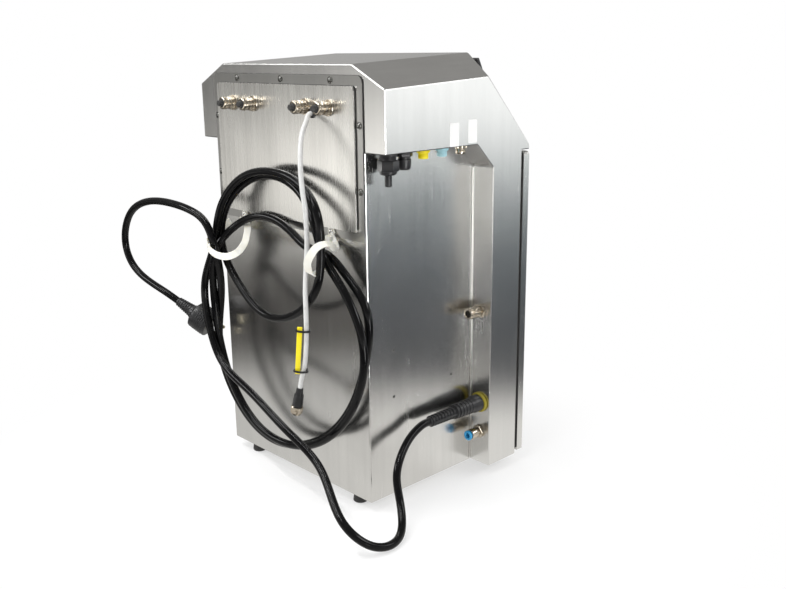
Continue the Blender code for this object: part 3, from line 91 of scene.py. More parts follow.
class Nodes:
    """A node tree and the few ways this file adds to it."""

    def __init__(self, tree):
        self.tree = tree

    def feed(self, socket, value):
        if isinstance(value, Value):
            self.tree.links.new(value.socket, socket)
        elif getattr(socket, "type", "") == "RGBA" and len(value) == 3:
            socket.default_value = (*value, 1.0)
        else:
            socket.default_value = value

    def node(self, kind, settings=None, sockets=None, output=0):
        """Adds a node: its settings first, then the values or links of its sockets."""
        made = self.tree.nodes.new(kind)
        for key, value in (settings or {}).items():
            if key == "stops":
                ramp = made.color_ramp
                while len(ramp.elements) < len(value):
                    ramp.elements.new(0.5)
                for element, (position, colour) in zip(ramp.elements, value):
                    element.position = position
                    element.color = (*colour, 1.0)
            else:
                setattr(made, key, value)
        for key, value in (sockets or {}).items():
            self.feed(made.inputs[key], value)
        return Value(self, made.outputs[output])

    def mix(self, factor, first, second):
        """Two colours mixed."""
        return self.node("ShaderNodeMix", {"data_type": "RGBA"}, {0: factor, 6: first, 7: second}, 2)

    def spread(self, value, low, high, to_low=0.0, to_high=1.0):
        """value moved from the range low..high to another, eased at both ends."""
        return self.node("ShaderNodeMapRange", {"interpolation_type": "SMOOTHSTEP"},
                         {"Value": value, "From Min": low, "From Max": high, "To Min": to_low,
                          "To Max": to_high})

    def ramp(self, factor, stops):
        """Colours along a value, from 0 to 1."""
        return self.node("ShaderNodeValToRGB", {"stops": stops}, {0: factor})

    def space(self, scale=(1, 1, 1), turn=(0, 0, 0), shift=(0, 0, 0), output=3):
        """Object coordinates, stretched and turned."""
        where = self.node("ShaderNodeTexCoord", output=output)
        return self.node("ShaderNodeMapping", {}, {"Vector": where, "Location": shift, "Rotation": turn,
                                                   "Scale": scale})

    def noise(self, where, scale, detail=2.0, rough=0.5, twist=0.0):
        return self.node("ShaderNodeTexNoise", {}, {"Vector": where, "Scale": scale, "Detail": detail,
                                                    "Roughness": rough, "Distortion": twist})

    def part(self, vector, axis):
        return self.node("ShaderNodeSeparateXYZ", {}, {0: vector}, axis)

    def bump(self, height, distance, strength=1.0, under=None):
        sockets = {"Height": height, "Distance": distance, "Strength": strength}
        if under is not None:
            sockets["Normal"] = under
        return self.node("ShaderNodeBump", {}, sockets)


class Finish(Nodes):
    """A material with a Principled surface, and the record's slot that it belongs to."""

    def __init__(self, name, slot, colour=(0.5, 0.5, 0.5), roughness=0.5, metallic=0.0, **fixed):
        self.material = bpy.data.materials.new(name)
        self.material.use_nodes = True
        super().__init__(self.material.node_tree)
        self.slot = slot
        self.surface = self.tree.nodes["Principled BSDF"]
        self.set("Base Color", colour)
        self.set("Roughness", roughness)
        self.set("Metallic", metallic)
        for key, value in fixed.items():
            self.set(key.replace("_", " "), value)

    def set(self, socket, value):
        self.feed(self.surface.inputs[socket], value)


# ------------------------------------------------------------------ finishes
def brushed(name, slot, low, high, roughness, fine=0.5, smears=0.5, anisotropic=0.0, lying="y", streaks=0.14):
    """Brushed sheet: the grain runs up walls, and along X or Y on faces that lie flat."""
    steel = Finish(name, slot, metallic=1.0)
    stretch = {"x": (7, 620, 620), "y": (620, 7, 620)}[lying]
    upright = steel.space((620, 620, 7))
    flat = steel.space(stretch)
    facing = steel.part(steel.node("ShaderNodeTexCoord", output=1), 2)
    lies = steel.spread(facing * facing, 0.12, 0.3)
    where = steel.node("ShaderNodeMix", {"data_type": "VECTOR"}, {0: lies, 4: upright, 5: flat}, 1)
    grain = steel.noise(where, 1.0, 3.0, 0.6)
    bands = steel.noise(where, 0.10, 3.0, 0.55)
    cloud = steel.noise(steel.space(), 7.0, 4.0, 0.55, 0.6)
    wipes = steel.noise(steel.space((30, 30, 6), (0.5, 0.3, 0.2)), 1.0, 5.0, 0.62, 1.4)
    rubbed = steel.spread(wipes, 0.58, 0.76)
    tone = steel.spread(grain, 0.2, 0.8) * streaks + steel.spread(bands, 0.3, 0.7) * (0.8 * streaks)
    tone = tone + steel.spread(cloud, 0.3, 0.7) * 0.22 + rubbed * (0.14 * smears) + 0.32
    steel.set("Base Color", steel.mix(tone, low, high))
    rough = (grain - 0.5) * (0.10 * fine) + (cloud - 0.5) * (0.10 * smears) + rubbed * (0.08 * smears)
    steel.set("Roughness", rough + roughness)
    steel.set("Anisotropic", anisotropic)
    steel.set("Normal", steel.bump(grain, 0.000010 * fine, 0.4))
    return steel


def plated(name, slot, low, high, roughness, grime):
    """Plated or turned metal, with a little tarnish in scattered spots."""
    metal = Finish(name, slot, metallic=1.0)
    blotch = metal.noise(metal.space(), 260.0, 4.0, 0.6)
    stain = metal.spread(metal.noise(metal.space(), 900.0, 3.0, 0.6), 0.45, 0.7)
    metal.set("Base Color", metal.mix(stain * grime, metal.mix(blotch, low, high), (0.10, 0.085, 0.06)))
    metal.set("Roughness", (blotch - 0.5) * 0.12 + stain * (0.25 * grime) + roughness)
    metal.set("Normal", metal.bump(metal.noise(metal.space(), 1800.0, 2.0), 0.00003, 0.35))
    return metal


def moulded(name, slot, low, high, roughness, grain_size=1400.0, relief=0.00004, dust=0.0, **fixed):
    """Moulded plastic or rubber: fine texture, faint flow marks and some dust."""
    plastic = Finish(name, slot, **fixed)
    texture = plastic.noise(plastic.space(), grain_size, 3.0, 0.6)
    flow = plastic.noise(plastic.space(), 60.0, 4.0, 0.6, 0.4)
    specks = plastic.spread(plastic.noise(plastic.space(), 520.0, 5.0, 0.75), 0.60, 0.74) * dust
    plastic.set("Base Color", plastic.mix(specks, plastic.mix(flow, low, high), (0.32, 0.31, 0.29)))
    plastic.set("Roughness", (flow - 0.5) * 0.14 + specks * 0.2 + roughness)
    plastic.set("Normal", plastic.bump(texture, relief, 0.5))
    return plastic


WALL_STEEL = brushed("wall_steel", "brushed_steel", (0.55, 0.55, 0.54), (0.82, 0.815, 0.80), 0.23, 0.8, 0.8,
                     0.6)
HOOD_STEEL = brushed("hood_steel", "brushed_steel", (0.60, 0.60, 0.59), (0.82, 0.815, 0.80), 0.24, 0.6, 0.5,
                     0.0)
# Paler than the wall steel: painted light, the brightness the plate shows under the lamps put into its
# colour; its rougher finish is its own.
PLATE_STEEL = brushed("plate_steel", "brushed_steel", (0.56, 0.555, 0.535), (0.96, 0.95, 0.92), 0.26, 1.4,
                      0.5, 0.7, streaks=0.24)
FLANGE_STEEL = brushed("flange_steel", "flange_steel", (0.36, 0.36, 0.355), (0.50, 0.495, 0.48), 0.30, 0.8,
                       0.4, 0.5)
DOOR_STEEL = brushed("door_steel", "brushed_steel", (0.58, 0.58, 0.57), (0.80, 0.80, 0.78), 0.25, 0.8, 0.4,
                     0.5)
# Paler copy of the brushed steel: painted highlight for the bright fold line down the step's inner corner.
FOLD_HIGHLIGHT_STEEL = brushed("bead_steel", "brushed_steel", (0.78, 0.77, 0.74), (0.90, 0.89, 0.86), 0.30, 0.6, 0.2)
INNER_STEEL = brushed("inner_steel", "brushed_steel", (0.46, 0.46, 0.45), (0.64, 0.64, 0.62), 0.36, 0.5, 0.3)
NICKEL = plated("nickel_plate", "nickel", (0.36, 0.29, 0.20), (0.92, 0.86, 0.76), 0.10, 0.45)
ZINC = plated("zinc_screw", "nickel", (0.60, 0.60, 0.58), (0.80, 0.80, 0.78), 0.20, 0.30)
# Darkened copy of the zinc screw finish: painted shade for the flange screws.
SHADED_ZINC = plated("dark_zinc_screw", "nickel", (0.12, 0.12, 0.115), (0.24, 0.24, 0.23), 0.16, 0.30)
BRASS_PIN = plated("pin_metal", "nickel", (0.66, 0.60, 0.44), (0.84, 0.78, 0.62), 0.18, 0.15)
BLACK = moulded("black_plastic", "black_plastic", (0.010, 0.010, 0.011), (0.024, 0.024, 0.026), 0.36,
                dust=0.25)
SOFT_BLACK = moulded("black_rubber", "rubber", (0.018, 0.018, 0.018), (0.040, 0.039, 0.038), 0.62, 900.0,
                     0.00006, 0.5)
GREY = moulded("grey_plastic", "grey_plastic", (0.26, 0.27, 0.28), (0.36, 0.37, 0.38), 0.46)
YELLOW = moulded("yellow_plastic", "yellow_plastic", (0.86, 0.68, 0.002), (0.94, 0.80, 0.006), 0.36, dust=0.0)
OLIVE = moulded("olive_plastic", "yellow_plastic", (0.26, 0.21, 0.015), (0.40, 0.33, 0.03), 0.42, dust=0.2)
BLUE = moulded("blue_plastic", "blue_plastic", (0.03, 0.30, 0.62), (0.06, 0.44, 0.80), 0.24)
PALE_BLUE = moulded("pale_blue_plastic", "pale_blue_plastic", (0.26, 0.50, 0.58), (0.45, 0.70, 0.76), 0.34)
LABEL = moulded("sticker_film", "nylon", (0.80, 0.80, 0.79), (0.88, 0.88, 0.87), 0.42, 2400.0, 0.00001)
BOARD = moulded("board_lacquer", "board_green", (0.012, 0.12, 0.055), (0.03, 0.22, 0.09), 0.28)
TANK = moulded("tank_plastic", "tank_plastic", (0.70, 0.70, 0.66), (0.82, 0.82, 0.78), 0.42, 700.0, 0.00005)
GREEN = moulded("green_key", "green_key", (0.03, 0.34, 0.10), (0.05, 0.44, 0.15), 0.40)
RED = moulded("red_key", "red_key", (0.50, 0.03, 0.025), (0.62, 0.05, 0.04), 0.40)
# Darkened copy of the blue plastic: painted shade deep in the air fitting's bore.
BORE_SHADE_BLUE = moulded("blue_bore", "blue_plastic", (0.001, 0.03, 0.16), (0.002, 0.05, 0.22), 0.5)
# Flat near-black: painted shade for the depth of a hole or a socket's bore.
BORE_SHADE_BLACK = Finish("dark_bore", "black_plastic", (0.006, 0.006, 0.006), 0.7)


def make_nylon():
    """Natural nylon: warm white, a little light showing through."""
    nylon = Finish("natural_nylon", "nylon", Subsurface_Weight=0.35, Subsurface_Scale=0.003)
    nylon.surface.inputs["Subsurface Radius"].default_value = (1.0, 0.9, 0.7)
    flow = nylon.noise(nylon.space(), 90.0, 4.0, 0.6)
    nylon.set("Base Color", nylon.mix(flow, (0.70, 0.68, 0.60), (0.86, 0.85, 0.80)))
    nylon.set("Roughness", (flow - 0.5) * 0.2 + 0.36)
    nylon.set("Normal", nylon.bump(nylon.noise(nylon.space(), 700.0, 3.0), 0.00005, 0.5))
    return nylon


def make_cord_sheath():
    """Satin black sheath: faint lay marks of the cores under it, scuffs and dust."""
    sheath = Finish("cord_sheath", "cord_black", Specular_IOR_Level=0.20)
    scuff = sheath.spread(sheath.noise(sheath.space(), 85.0, 6.0, 0.72, 0.5), 0.52, 0.72)
    dust = sheath.spread(sheath.noise(sheath.space(), 420.0, 5.0, 0.7), 0.60, 0.75)
    sheath.set("Base Color", sheath.mix(scuff * 0.30 + dust * 0.15, (0.0030, 0.0030, 0.0034),
                                        (0.020, 0.020, 0.019)))
    sheath.set("Roughness", scuff * 0.12 + dust * 0.06 + 0.13)
    lay = sheath.noise(sheath.space(), 150.0, 3.0, 0.5)
    sheath.set("Normal", sheath.bump(lay, 0.00025, 0.35))
    return sheath


def make_cable_sheath():
    sheath = Finish("cable_sheath", "cable_grey")
    grime = sheath.spread(sheath.noise(sheath.space(), 120.0, 5.0, 0.65), 0.50, 0.75)
    sheath.set("Base Color", sheath.mix(grime * 0.6, (0.62, 0.62, 0.61), (0.42, 0.41, 0.39)))
    sheath.set("Roughness", grime * 0.15 + 0.38)
    sheath.set("Normal", sheath.bump(sheath.noise(sheath.space(), 260.0, 3.0), 0.0001, 0.4))
    return sheath


def make_screen():
    screen = Finish("screen_glass", "screen_glass", Coat_Weight=0.6)
    smudge = screen.noise(screen.space(), 24.0, 5.0, 0.6, 0.8)
    screen.set("Base Color", screen.mix(smudge, (0.012, 0.018, 0.022), (0.030, 0.038, 0.044)))
    screen.set("Roughness", screen.spread(smudge, 0.4, 0.75) * 0.16 + 0.06)
    return screen


NYLON = make_nylon()
CORD = make_cord_sheath()
CABLE = make_cable_sheath()
SCREEN = make_screen()


def dress(finish, *names):
    for name in names:
        mesh = NODES[name].data
        mesh.materials.clear()
        mesh.materials.append(finish.material)


dress(WALL_STEEL, "rear_shell")
dress(HOOD_STEEL, "hood_skin")
dress(PLATE_STEEL, "connector_plate")
dress(FLANGE_STEEL, "cover_flange")
dress(DOOR_STEEL, "door_panel")
dress(INNER_STEEL, "base_plate", "chassis_panel")
dress(SOFT_BLACK, "foot_1", "foot_2", "foot_3", "foot_4", "door_gasket")
dress(NICKEL, "hinge_pin_low", "hinge_pin_top", "pump_head", "valve_block")
dress(BLACK, "power_inlet", "switch_frame", "switch_rocker", "door_latch", "control_panel", "fan_frame",
      "fan_rotor", "ink_cap", "solvent_cap", "pump_coupling")
dress(OLIVE, "inlet_seal_ring")
dress(SCREEN, "screen_glass")
dress(GREY, "power_supply", "drip_tray", "pump_motor", "key_up", "key_down")
dress(GREEN, "key_start")
dress(RED, "key_stop")
dress(BOARD, "control_board")
dress(TANK, "ink_tank", "solvent_tank", "ink_filter")


# ------------------------------------------------------------------ camera and studio
def make_camera():
    eye = at(-868.0, 651.4, 529.1)
    forward = (at(-53.8, -119.6, 228.5) - eye).normalized()
    roll = math.radians(-0.7086)
    right = forward.cross(Vector((0, 0, 1))).normalized()
    up = right.cross(forward)
    across = right * math.cos(roll) + up * math.sin(roll)
    upward = up * math.cos(roll) - right * math.sin(roll)
    camera = bpy.data.objects.new("camera", bpy.data.cameras.new("camera"))
    camera.data.sensor_width = 36.0
    camera.data.lens = 42.02
    camera.data.clip_start = 0.01
    camera.matrix_world = Matrix.Translation(eye) @ Matrix((across, upward, -forward)).transposed().to_4x4()
    SCENE.collection.objects.link(camera)
    SCENE.camera = camera


def softbox(name, place, aim, width, height, watts, tint=(1, 1, 1)):
    lamp = bpy.data.lights.new(name, "AREA")
    lamp.shape = "RECTANGLE"
    lamp.size, lamp.size_y = width, height
    lamp.energy = watts
    lamp.color = tint
    obj = bpy.data.objects.new(name, lamp)
    obj.location = place
    obj.rotation_euler = (Vector(aim) - Vector(place)).to_track_quat("-Z", "Y").to_euler()
    obj.visible_camera = False
    SCENE.collection.objects.link(obj)


def scaled(nodes, colour, factor):
    """A colour times another."""
    return nodes.node("ShaderNodeMix", {"data_type": "RGBA", "blend_type": "MULTIPLY"},
                      {0: 1.0, 6: colour, 7: factor}, 2)


def uneven(nodes, bearing):
    """The pale sheet behind the cabinet is dimmer on its far side."""
    return nodes.ramp(bearing + 0.5, UNEVEN)


def make_room():
    """White room for the camera; metal sees pale and dark sheets round it, down to a horizon."""
    world = bpy.data.worlds.new("room")
    world.use_nodes = True
    SCENE.world = world
    room = Nodes(world.node_tree)
    path = room.tree.nodes.new("ShaderNodeLightPath")
    seen = Value(room, path.outputs["Is Camera Ray"])
    mirrored = Value(room, path.outputs["Is Glossy Ray"])
    direction = room.node("ShaderNodeTexCoord", output=0)
    height = room.part(direction, 2)
    behind = (room.part(direction, 0) + room.part(direction, 1)) * DIAGONAL
    bearing = (room.part(direction, 1) - room.part(direction, 0)) * DIAGONAL
    shade = room.mix(room.spread(behind, 0.4, 0.8), (1.0, 1.0, 1.0), uneven(room, bearing))
    far = scaled(room, room.ramp(behind * 0.5 + 0.5, HORIZON), shade)
    studio = room.mix(room.spread(height, 0.03, 0.22), far, (0.30, 0.295, 0.285))
    soft = room.mix(mirrored, (0.80, 0.80, 0.80), studio)
    colour = room.mix(seen, soft, (1.0, 1.0, 1.0))
    backdrop = room.tree.nodes["Background"]
    room.feed(backdrop.inputs["Color"], colour)
    backdrop.inputs["Strength"].default_value = 1.0


FLOOR_RADIUS = 14.0
FLOOR_DROP = 0.0004                           # the floor lies this far under the feet
HALF_REACH = 2.0                              # distance from the cabinet at which reach is one half
HIGHLIGHT_STRIP_START = 0.50                            # painted highlight: a strip of the floor that glows to glossy rays only begins this far off the side
HIGHLIGHT_STRIP_LEAN = (0.04, 0.30)                     # and fans out between these slopes
HIGHLIGHT_STRIP_LEVEL = 12.0
# Painted reflections: bands the floor glows with to glossy rays only, as metal sees them behind the cabinet,
# beside it and before the camera; the horizon lies at 1.
PAINTED_REFLECTION_BEHIND = ((0.0, (0.70, 0.69, 0.665)), (0.135, (0.68, 0.67, 0.645)), (0.175, (0.58, 0.57, 0.55)),
                (0.21, (0.32, 0.315, 0.30)), (0.24, (0.105, 0.10, 0.095)), (0.33, (0.095, 0.09, 0.085)),
                (0.39, (0.18, 0.175, 0.165)), (0.44, (0.50, 0.49, 0.47)), (0.50, (0.85, 0.84, 0.80)),
                (0.58, (1.0, 0.98, 0.94)), (0.68, (1.0, 0.98, 0.94)), (0.75, (0.64, 0.63, 0.605)),
                (0.81, (0.38, 0.375, 0.36)), (0.86, (0.28, 0.275, 0.265)))
PAINTED_REFLECTION_BESIDE = ((0.0, (0.90, 0.885, 0.855)), (0.15, (0.92, 0.905, 0.875)), (0.180, (0.62, 0.61, 0.59)),
                (0.210, (0.14, 0.14, 0.145)), (0.25, (0.090, 0.094, 0.10)), (0.32, (0.088, 0.095, 0.104)),
                (0.38, (0.100, 0.112, 0.124)), (0.444, (0.135, 0.152, 0.168)), (0.485, (0.195, 0.22, 0.235)),
                (0.55, (0.30, 0.33, 0.345)), (0.61, (0.46, 0.51, 0.52)), (0.65, (0.66, 0.70, 0.71)),
                (0.69, (1.05, 1.08, 1.08)), (0.76, (1.50, 1.52, 1.52)))
PAINTED_REFLECTION_BEFORE = ((0.0, (0.80, 0.79, 0.76)), (0.15, (0.75, 0.73, 0.70)), (0.20, (0.32, 0.315, 0.30)),
                (0.25, (0.10, 0.10, 0.105)), (0.34, (0.055, 0.058, 0.065)), (0.42, (0.14, 0.14, 0.14)),
                (0.49, (1.30, 1.28, 1.22)), (0.60, (1.0, 0.99, 0.96)))
HORIZON = ((0.0, (1.50, 1.52, 1.52)), (0.20, (1.40, 1.42, 1.42)), (0.40, (0.56, 0.56, 0.56)),
           (0.62, (0.70, 0.70, 0.69)), (0.75, (0.44, 0.435, 0.425)), (0.90, (0.31, 0.305, 0.295)))
UNEVEN = ((0.0, (0.28, 0.28, 0.28)), (0.30, (0.30, 0.30, 0.30)), (0.36, (0.60, 0.60, 0.60)),
          (0.40, (0.95, 0.95, 0.95)), (0.44, (1.40, 1.40, 1.40)), (0.50, (1.80, 1.80, 1.80)))


def make_floor():
    """The pale floor under the object; to glossy rays it glows with painted reflections that change with
    distance and bearing, and with a painted highlight strip.
    """
    mesh = bpy.data.meshes.new("floor")
    bm = bmesh.new()
    bmesh.ops.create_circle(bm, cap_ends=True, segments=64, radius=FLOOR_RADIUS)
    bm.to_mesh(mesh)
    bm.free()
    floor = bpy.data.objects.new("floor", mesh)
    floor.location.z = -FLOOR_DROP
    SCENE.collection.objects.link(floor)
    sheet = bpy.data.materials.new("floor_sheet")
    sheet.use_nodes = True
    mesh.materials.append(sheet)
    nodes = Nodes(sheet.node_tree)
    nodes.tree.nodes.remove(nodes.tree.nodes["Principled BSDF"])
    path = nodes.tree.nodes.new("ShaderNodeLightPath")
    seen = Value(nodes, path.outputs["Is Camera Ray"])
    mirrored = Value(nodes, path.outputs["Is Glossy Ray"])
    where = nodes.node("ShaderNodeTexCoord", output=3)
    x, y = nodes.part(where, 0), nodes.part(where, 1)
    radius = (x * x + y * y) ** 0.5
    along, across = (x + y) * DIAGONAL, (y - x) * DIAGONAL
    bearing = across / radius
    reach = radius / (radius + HALF_REACH)
    # Painted reflection: the floor's bands by distance and bearing, emitted to glossy rays only.
    shade = nodes.mix(nodes.spread(reach, 0.30, 0.48), (1.0, 1.0, 1.0), uneven(nodes, bearing))
    behind = scaled(nodes, nodes.ramp(reach, PAINTED_REFLECTION_BEHIND), shade)
    level = nodes.mix(nodes.spread(along, -0.25, 0.25), nodes.ramp(reach, PAINTED_REFLECTION_BESIDE), behind)
    level = nodes.mix(nodes.spread(bearing, 0.38, 0.62), level, nodes.ramp(reach, PAINTED_REFLECTION_BEFORE))
    # Painted highlight: a narrow fan of floor that glows at the strip level to glossy rays only.
    off_side, off_back = x * -1.0 - 0.175, y - 0.10
    lean = off_back / off_side
    fan = nodes.spread(lean, HIGHLIGHT_STRIP_LEAN[0], 0.08) * nodes.spread(lean, HIGHLIGHT_STRIP_LEAN[1], 0.24)
    strip = fan * nodes.spread(off_side, HIGHLIGHT_STRIP_START, 0.56)
    level = nodes.mix(strip, level, (HIGHLIGHT_STRIP_LEVEL, HIGHLIGHT_STRIP_LEVEL, HIGHLIGHT_STRIP_LEVEL))
    paper = nodes.node("ShaderNodeBsdfDiffuse", {}, {"Color": (0.93, 0.93, 0.93)})
    reflected = nodes.node("ShaderNodeEmission", {}, {"Color": level})
    white = nodes.node("ShaderNodeEmission", {}, {"Color": (1.0, 1.0, 1.0)})
    fade = nodes.spread(radius, 0.20, 0.52, 0.50, 1.0)
    lit = nodes.node("ShaderNodeMixShader", {}, {0: fade, 1: paper, 2: white})
    shown = nodes.node("ShaderNodeMixShader", {}, {0: seen, 1: paper, 2: lit})
    out = nodes.node("ShaderNodeMixShader", {}, {0: mirrored, 1: shown, 2: reflected})
    nodes.feed(nodes.tree.nodes["Material Output"].inputs["Surface"], out)


SCENE.view_settings.view_transform = "Standard"
make_camera()
make_room()
make_floor()
softbox("key_light", (1.4, 2.0, 1.5), (0, 0, 0.25), 1.9, 0.45, 24.0)
softbox("side_light", (-1.9, -1.2, 1.7), (-0.1, 0, 0.3), 1.7, 0.6, 18.0)
softbox("top_light", (0.3, 0.6, 2.4), (0, 0, 0.2), 1.6, 1.6, 18.0)
softbox("strip_light", (0.2, 1.0, 1.9), (0, 0, 0.25), 1.7, 0.05, 13.0)


# ------------------------------------------------------------------ shapes
def turned(profile, sides=48):
    """A closed solid of revolution about Z: profile is (radius, height) in millimetres, foot to top."""
    bm = bmesh.new()
    rings = []
    for radius, height in profile:
        if radius <= 0:
            rings.append([bm.verts.new((0, 0, height / 1000))])
            continue
        rings.append([bm.verts.new((radius / 1000 * math.cos(2 * math.pi * i / sides),
                                    radius / 1000 * math.sin(2 * math.pi * i / sides), height / 1000))
                      for i in range(sides)])
    for low, high in zip(rings, rings[1:]):
        for i in range(sides):
            j = (i + 1) % sides
            corners = [low[i % len(low)], low[j % len(low)], high[j % len(high)], high[i % len(high)]]
            corners = list(dict.fromkeys(corners))
            if len(corners) > 2:
                bm.faces.new(corners)
    bmesh.ops.recalc_face_normals(bm, faces=bm.faces)
    return bm


def ring_solid(profile, sides=48):
    """A solid of revolution with a bore: the profile is a closed loop of (radius, height) in millimetres."""
    bm = bmesh.new()
    rings = [[bm.verts.new((radius / 1000 * math.cos(2 * math.pi * i / sides),
                            radius / 1000 * math.sin(2 * math.pi * i / sides), height / 1000))
              for i in range(sides)] for radius, height in profile]
    for low, high in zip(rings, rings[1:] + rings[:1]):
        for i in range(sides):
            j = (i + 1) % sides
            bm.faces.new((low[i], low[j], high[j], high[i]))
    bmesh.ops.recalc_face_normals(bm, faces=bm.faces)
    return bm


def hexagon(across, low, high):
    """A hexagonal nut with its corners chamfered at both ends."""
    radius = across / math.sqrt(3)
    bm = turned([(0, low), (radius, low), (radius, high), (0, high)], 6)
    rim = [e for e in bm.edges if abs(e.verts[0].co.z - e.verts[1].co.z) < 1e-6
           and min(v.co.xy.length for v in e.verts) > 1e-6]
    bmesh.ops.bevel(bm, geom=rim, offset=across * 0.00005, segments=2, profile=0.5, affect="EDGES")
    return bm


def cuboid(low, high, bevel=0.0, segments=2):
    """A box between two corners in millimetres, with rounded edges."""
    low, high = Vector(low) / 1000, Vector(high) / 1000
    bm = bmesh.new()
    bmesh.ops.create_cube(bm, size=1.0)
    bmesh.ops.scale(bm, vec=high - low, verts=bm.verts)
    bmesh.ops.translate(bm, vec=(low + high) / 2, verts=bm.verts)
    if bevel:
        bmesh.ops.bevel(bm, geom=bm.edges[:], offset=bevel / 1000, segments=segments, profile=0.5,
                        affect="EDGES")
    return bm


def frames_along(points):
    """For each point of a path, its heading and two directions across it that never twist."""
    headings = [(points[min(i + 1, len(points) - 1)] - points[max(i - 1, 0)]).normalized()
                for i in range(len(points))]
    side = headings[0].orthogonal().normalized()
    found = []
    for heading in headings:
        side = (side - heading * side.dot(heading)).normalized()
        found.append((heading, side, heading.cross(side)))
    return found


def extruded(outlines, thickness):
    """A plate in its own XY plane from closed outlines in millimetres; those inside the first are holes."""
    curve = bpy.data.curves.new("outline", "CURVE")
    curve.dimensions = "2D"
    curve.fill_mode = "BOTH"
    curve.extrude = thickness / 2000
    for outline in outlines:
        spline = curve.splines.new("POLY")
        spline.points.add(len(outline) - 1)
        for point, (x, y) in zip(spline.points, outline):
            point.co = (x / 1000, y / 1000, 0.0, 1.0)
        spline.use_cyclic_u = True
    guide = bpy.data.objects.new("outline", curve)
    SCENE.collection.objects.link(guide)
    bpy.context.view_layer.update()
    mesh = bpy.data.meshes.new_from_object(guide.evaluated_get(bpy.context.evaluated_depsgraph_get()))
    bpy.data.objects.remove(guide)
    bm = bmesh.new()
    bm.from_mesh(mesh)
    bpy.data.meshes.remove(mesh)
    bmesh.ops.remove_doubles(bm, verts=bm.verts, dist=1e-7)
    bmesh.ops.recalc_face_normals(bm, faces=bm.faces)
    return bm


def rounded(width, height, radius, steps=8, middle=(0.0, 0.0)):
    points = []
    for sx, sy, start in ((1, 1, 0), (-1, 1, 90), (-1, -1, 180), (1, -1, 270)):
        for i in range(steps + 1):
            a = math.radians(start + 90 * i / steps)
            points.append((middle[0] + sx * (width / 2 - radius) + radius * math.cos(a),
                           middle[1] + sy * (height / 2 - radius) + radius * math.sin(a)))
    return points


def facing(place, direction, turn=0.0):
    """A matrix that stands a shape on place with its own Z along direction."""
    quat = Vector(direction).to_track_quat("Z", "Y")
    return Matrix.Translation(place) @ quat.to_matrix().to_4x4() @ Matrix.Rotation(turn, 4, "Z")


OUT, DOWN, IN, UP = Vector((0, 1, 0)), Vector((0, 0, -1)), Vector((0, -1, 0)), Vector((0, 0, 1))


class Piece:
    """One object built from closed shapes, each with its own finish."""

    def __init__(self, name):
        self.name = name
        self.bm = bmesh.new()
        self.finishes = []

    def add(self, shape, finish, matrix=FLAT_TURN, smooth=True):
        if finish not in self.finishes:
            self.finishes.append(finish)
        index = self.finishes.index(finish)
        for face in shape.faces:
            face.material_index = index
            face.smooth = smooth
        mesh = bpy.data.meshes.new("part")
        shape.to_mesh(mesh)
        shape.free()
        mesh.transform(matrix)
        self.bm.from_mesh(mesh)
        bpy.data.meshes.remove(mesh)
        return self

    def done(self, body, *stands_for, angle=35.0):
        mesh = bpy.data.meshes.new(self.name)
        self.bm.to_mesh(mesh)
        self.bm.free()
        for finish in self.finishes:
            mesh.materials.append(finish.material)
        mesh.set_sharp_from_angle(angle=math.radians(angle))
        return settle(bpy.data.objects.new(self.name, mesh), self.finishes[0], body, *stands_for)


def settle(obj, finish, body, *stands_for):
    """Links a finished piece and its body, and hides the solids it stands for."""
    if obj.name not in SCENE.collection.objects:
        SCENE.collection.objects.link(obj)
    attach(obj, body)
    if stands_for:
        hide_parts(*stands_for)
    return obj


# ------------------------------------------------------------------ geometry node recipes
class Recipe(Nodes):
    """A geometry node tree with named inputs. Its result becomes a plain mesh."""

    KINDS = {float: "NodeSocketFloat", int: "NodeSocketInt", tuple: "NodeSocketVector"}

    def __init__(self, name, **inputs):
        super().__init__(bpy.data.node_groups.new(name, "GeometryNodeTree"))
        face = self.tree.interface
        face.new_socket("Geometry", in_out="INPUT", socket_type="NodeSocketGeometry")
        self.keys = {}
        for label, default in inputs.items():
            socket = face.new_socket(label.replace("_", " "), in_out="INPUT",
                                     socket_type=self.KINDS[type(default)])
            socket.default_value = default
            self.keys[label] = socket.identifier
        self.coat = face.new_socket("Material", in_out="INPUT", socket_type="NodeSocketMaterial").identifier
        face.new_socket("Geometry", in_out="OUTPUT", socket_type="NodeSocketGeometry")
        self.inlet = self.tree.nodes.new("NodeGroupInput")
        self.outlet = self.tree.nodes.new("NodeGroupOutput")

    def given(self, label):
        return Value(self, self.inlet.outputs[label.replace("_", " ")])

    def join(self, *shapes):
        made = self.tree.nodes.new("GeometryNodeJoinGeometry")
        for shape in shapes:
            self.tree.links.new(shape.socket, made.inputs[0])
        return Value(self, made.outputs[0])

    def close(self, shape):
        real = self.node("GeometryNodeRealizeInstances", {}, {0: shape})
        coated = self.node("GeometryNodeSetMaterial", {}, {0: real, "Material": self.given("Material")})
        self.feed(self.outlet.inputs[0], coated)
        return self

    def make(self, name, base, finish, body, *stands_for, smooth=35.0, **values):
        """Runs the tree on base, a mesh or curve, and returns the plain piece."""
        host = bpy.data.objects.new(name + "_base", base)
        SCENE.collection.objects.link(host)
        modifier = host.modifiers.new("recipe", "NODES")
        modifier.node_group = self.tree
        for label, value in values.items():
            modifier[self.keys[label]] = value
        modifier[self.coat] = finish.material
        bpy.context.view_layer.update()
        graph = bpy.context.evaluated_depsgraph_get()
        mesh = bpy.data.meshes.new_from_object(host.evaluated_get(graph))
        host.modifiers.remove(modifier)
        bpy.data.objects.remove(host)
        mesh.name = name
        mesh.set_sharp_from_angle(angle=math.radians(smooth))
        for face in mesh.polygons:
            face.use_smooth = True
        return settle(bpy.data.objects.new(name, mesh), finish, body, *stands_for)


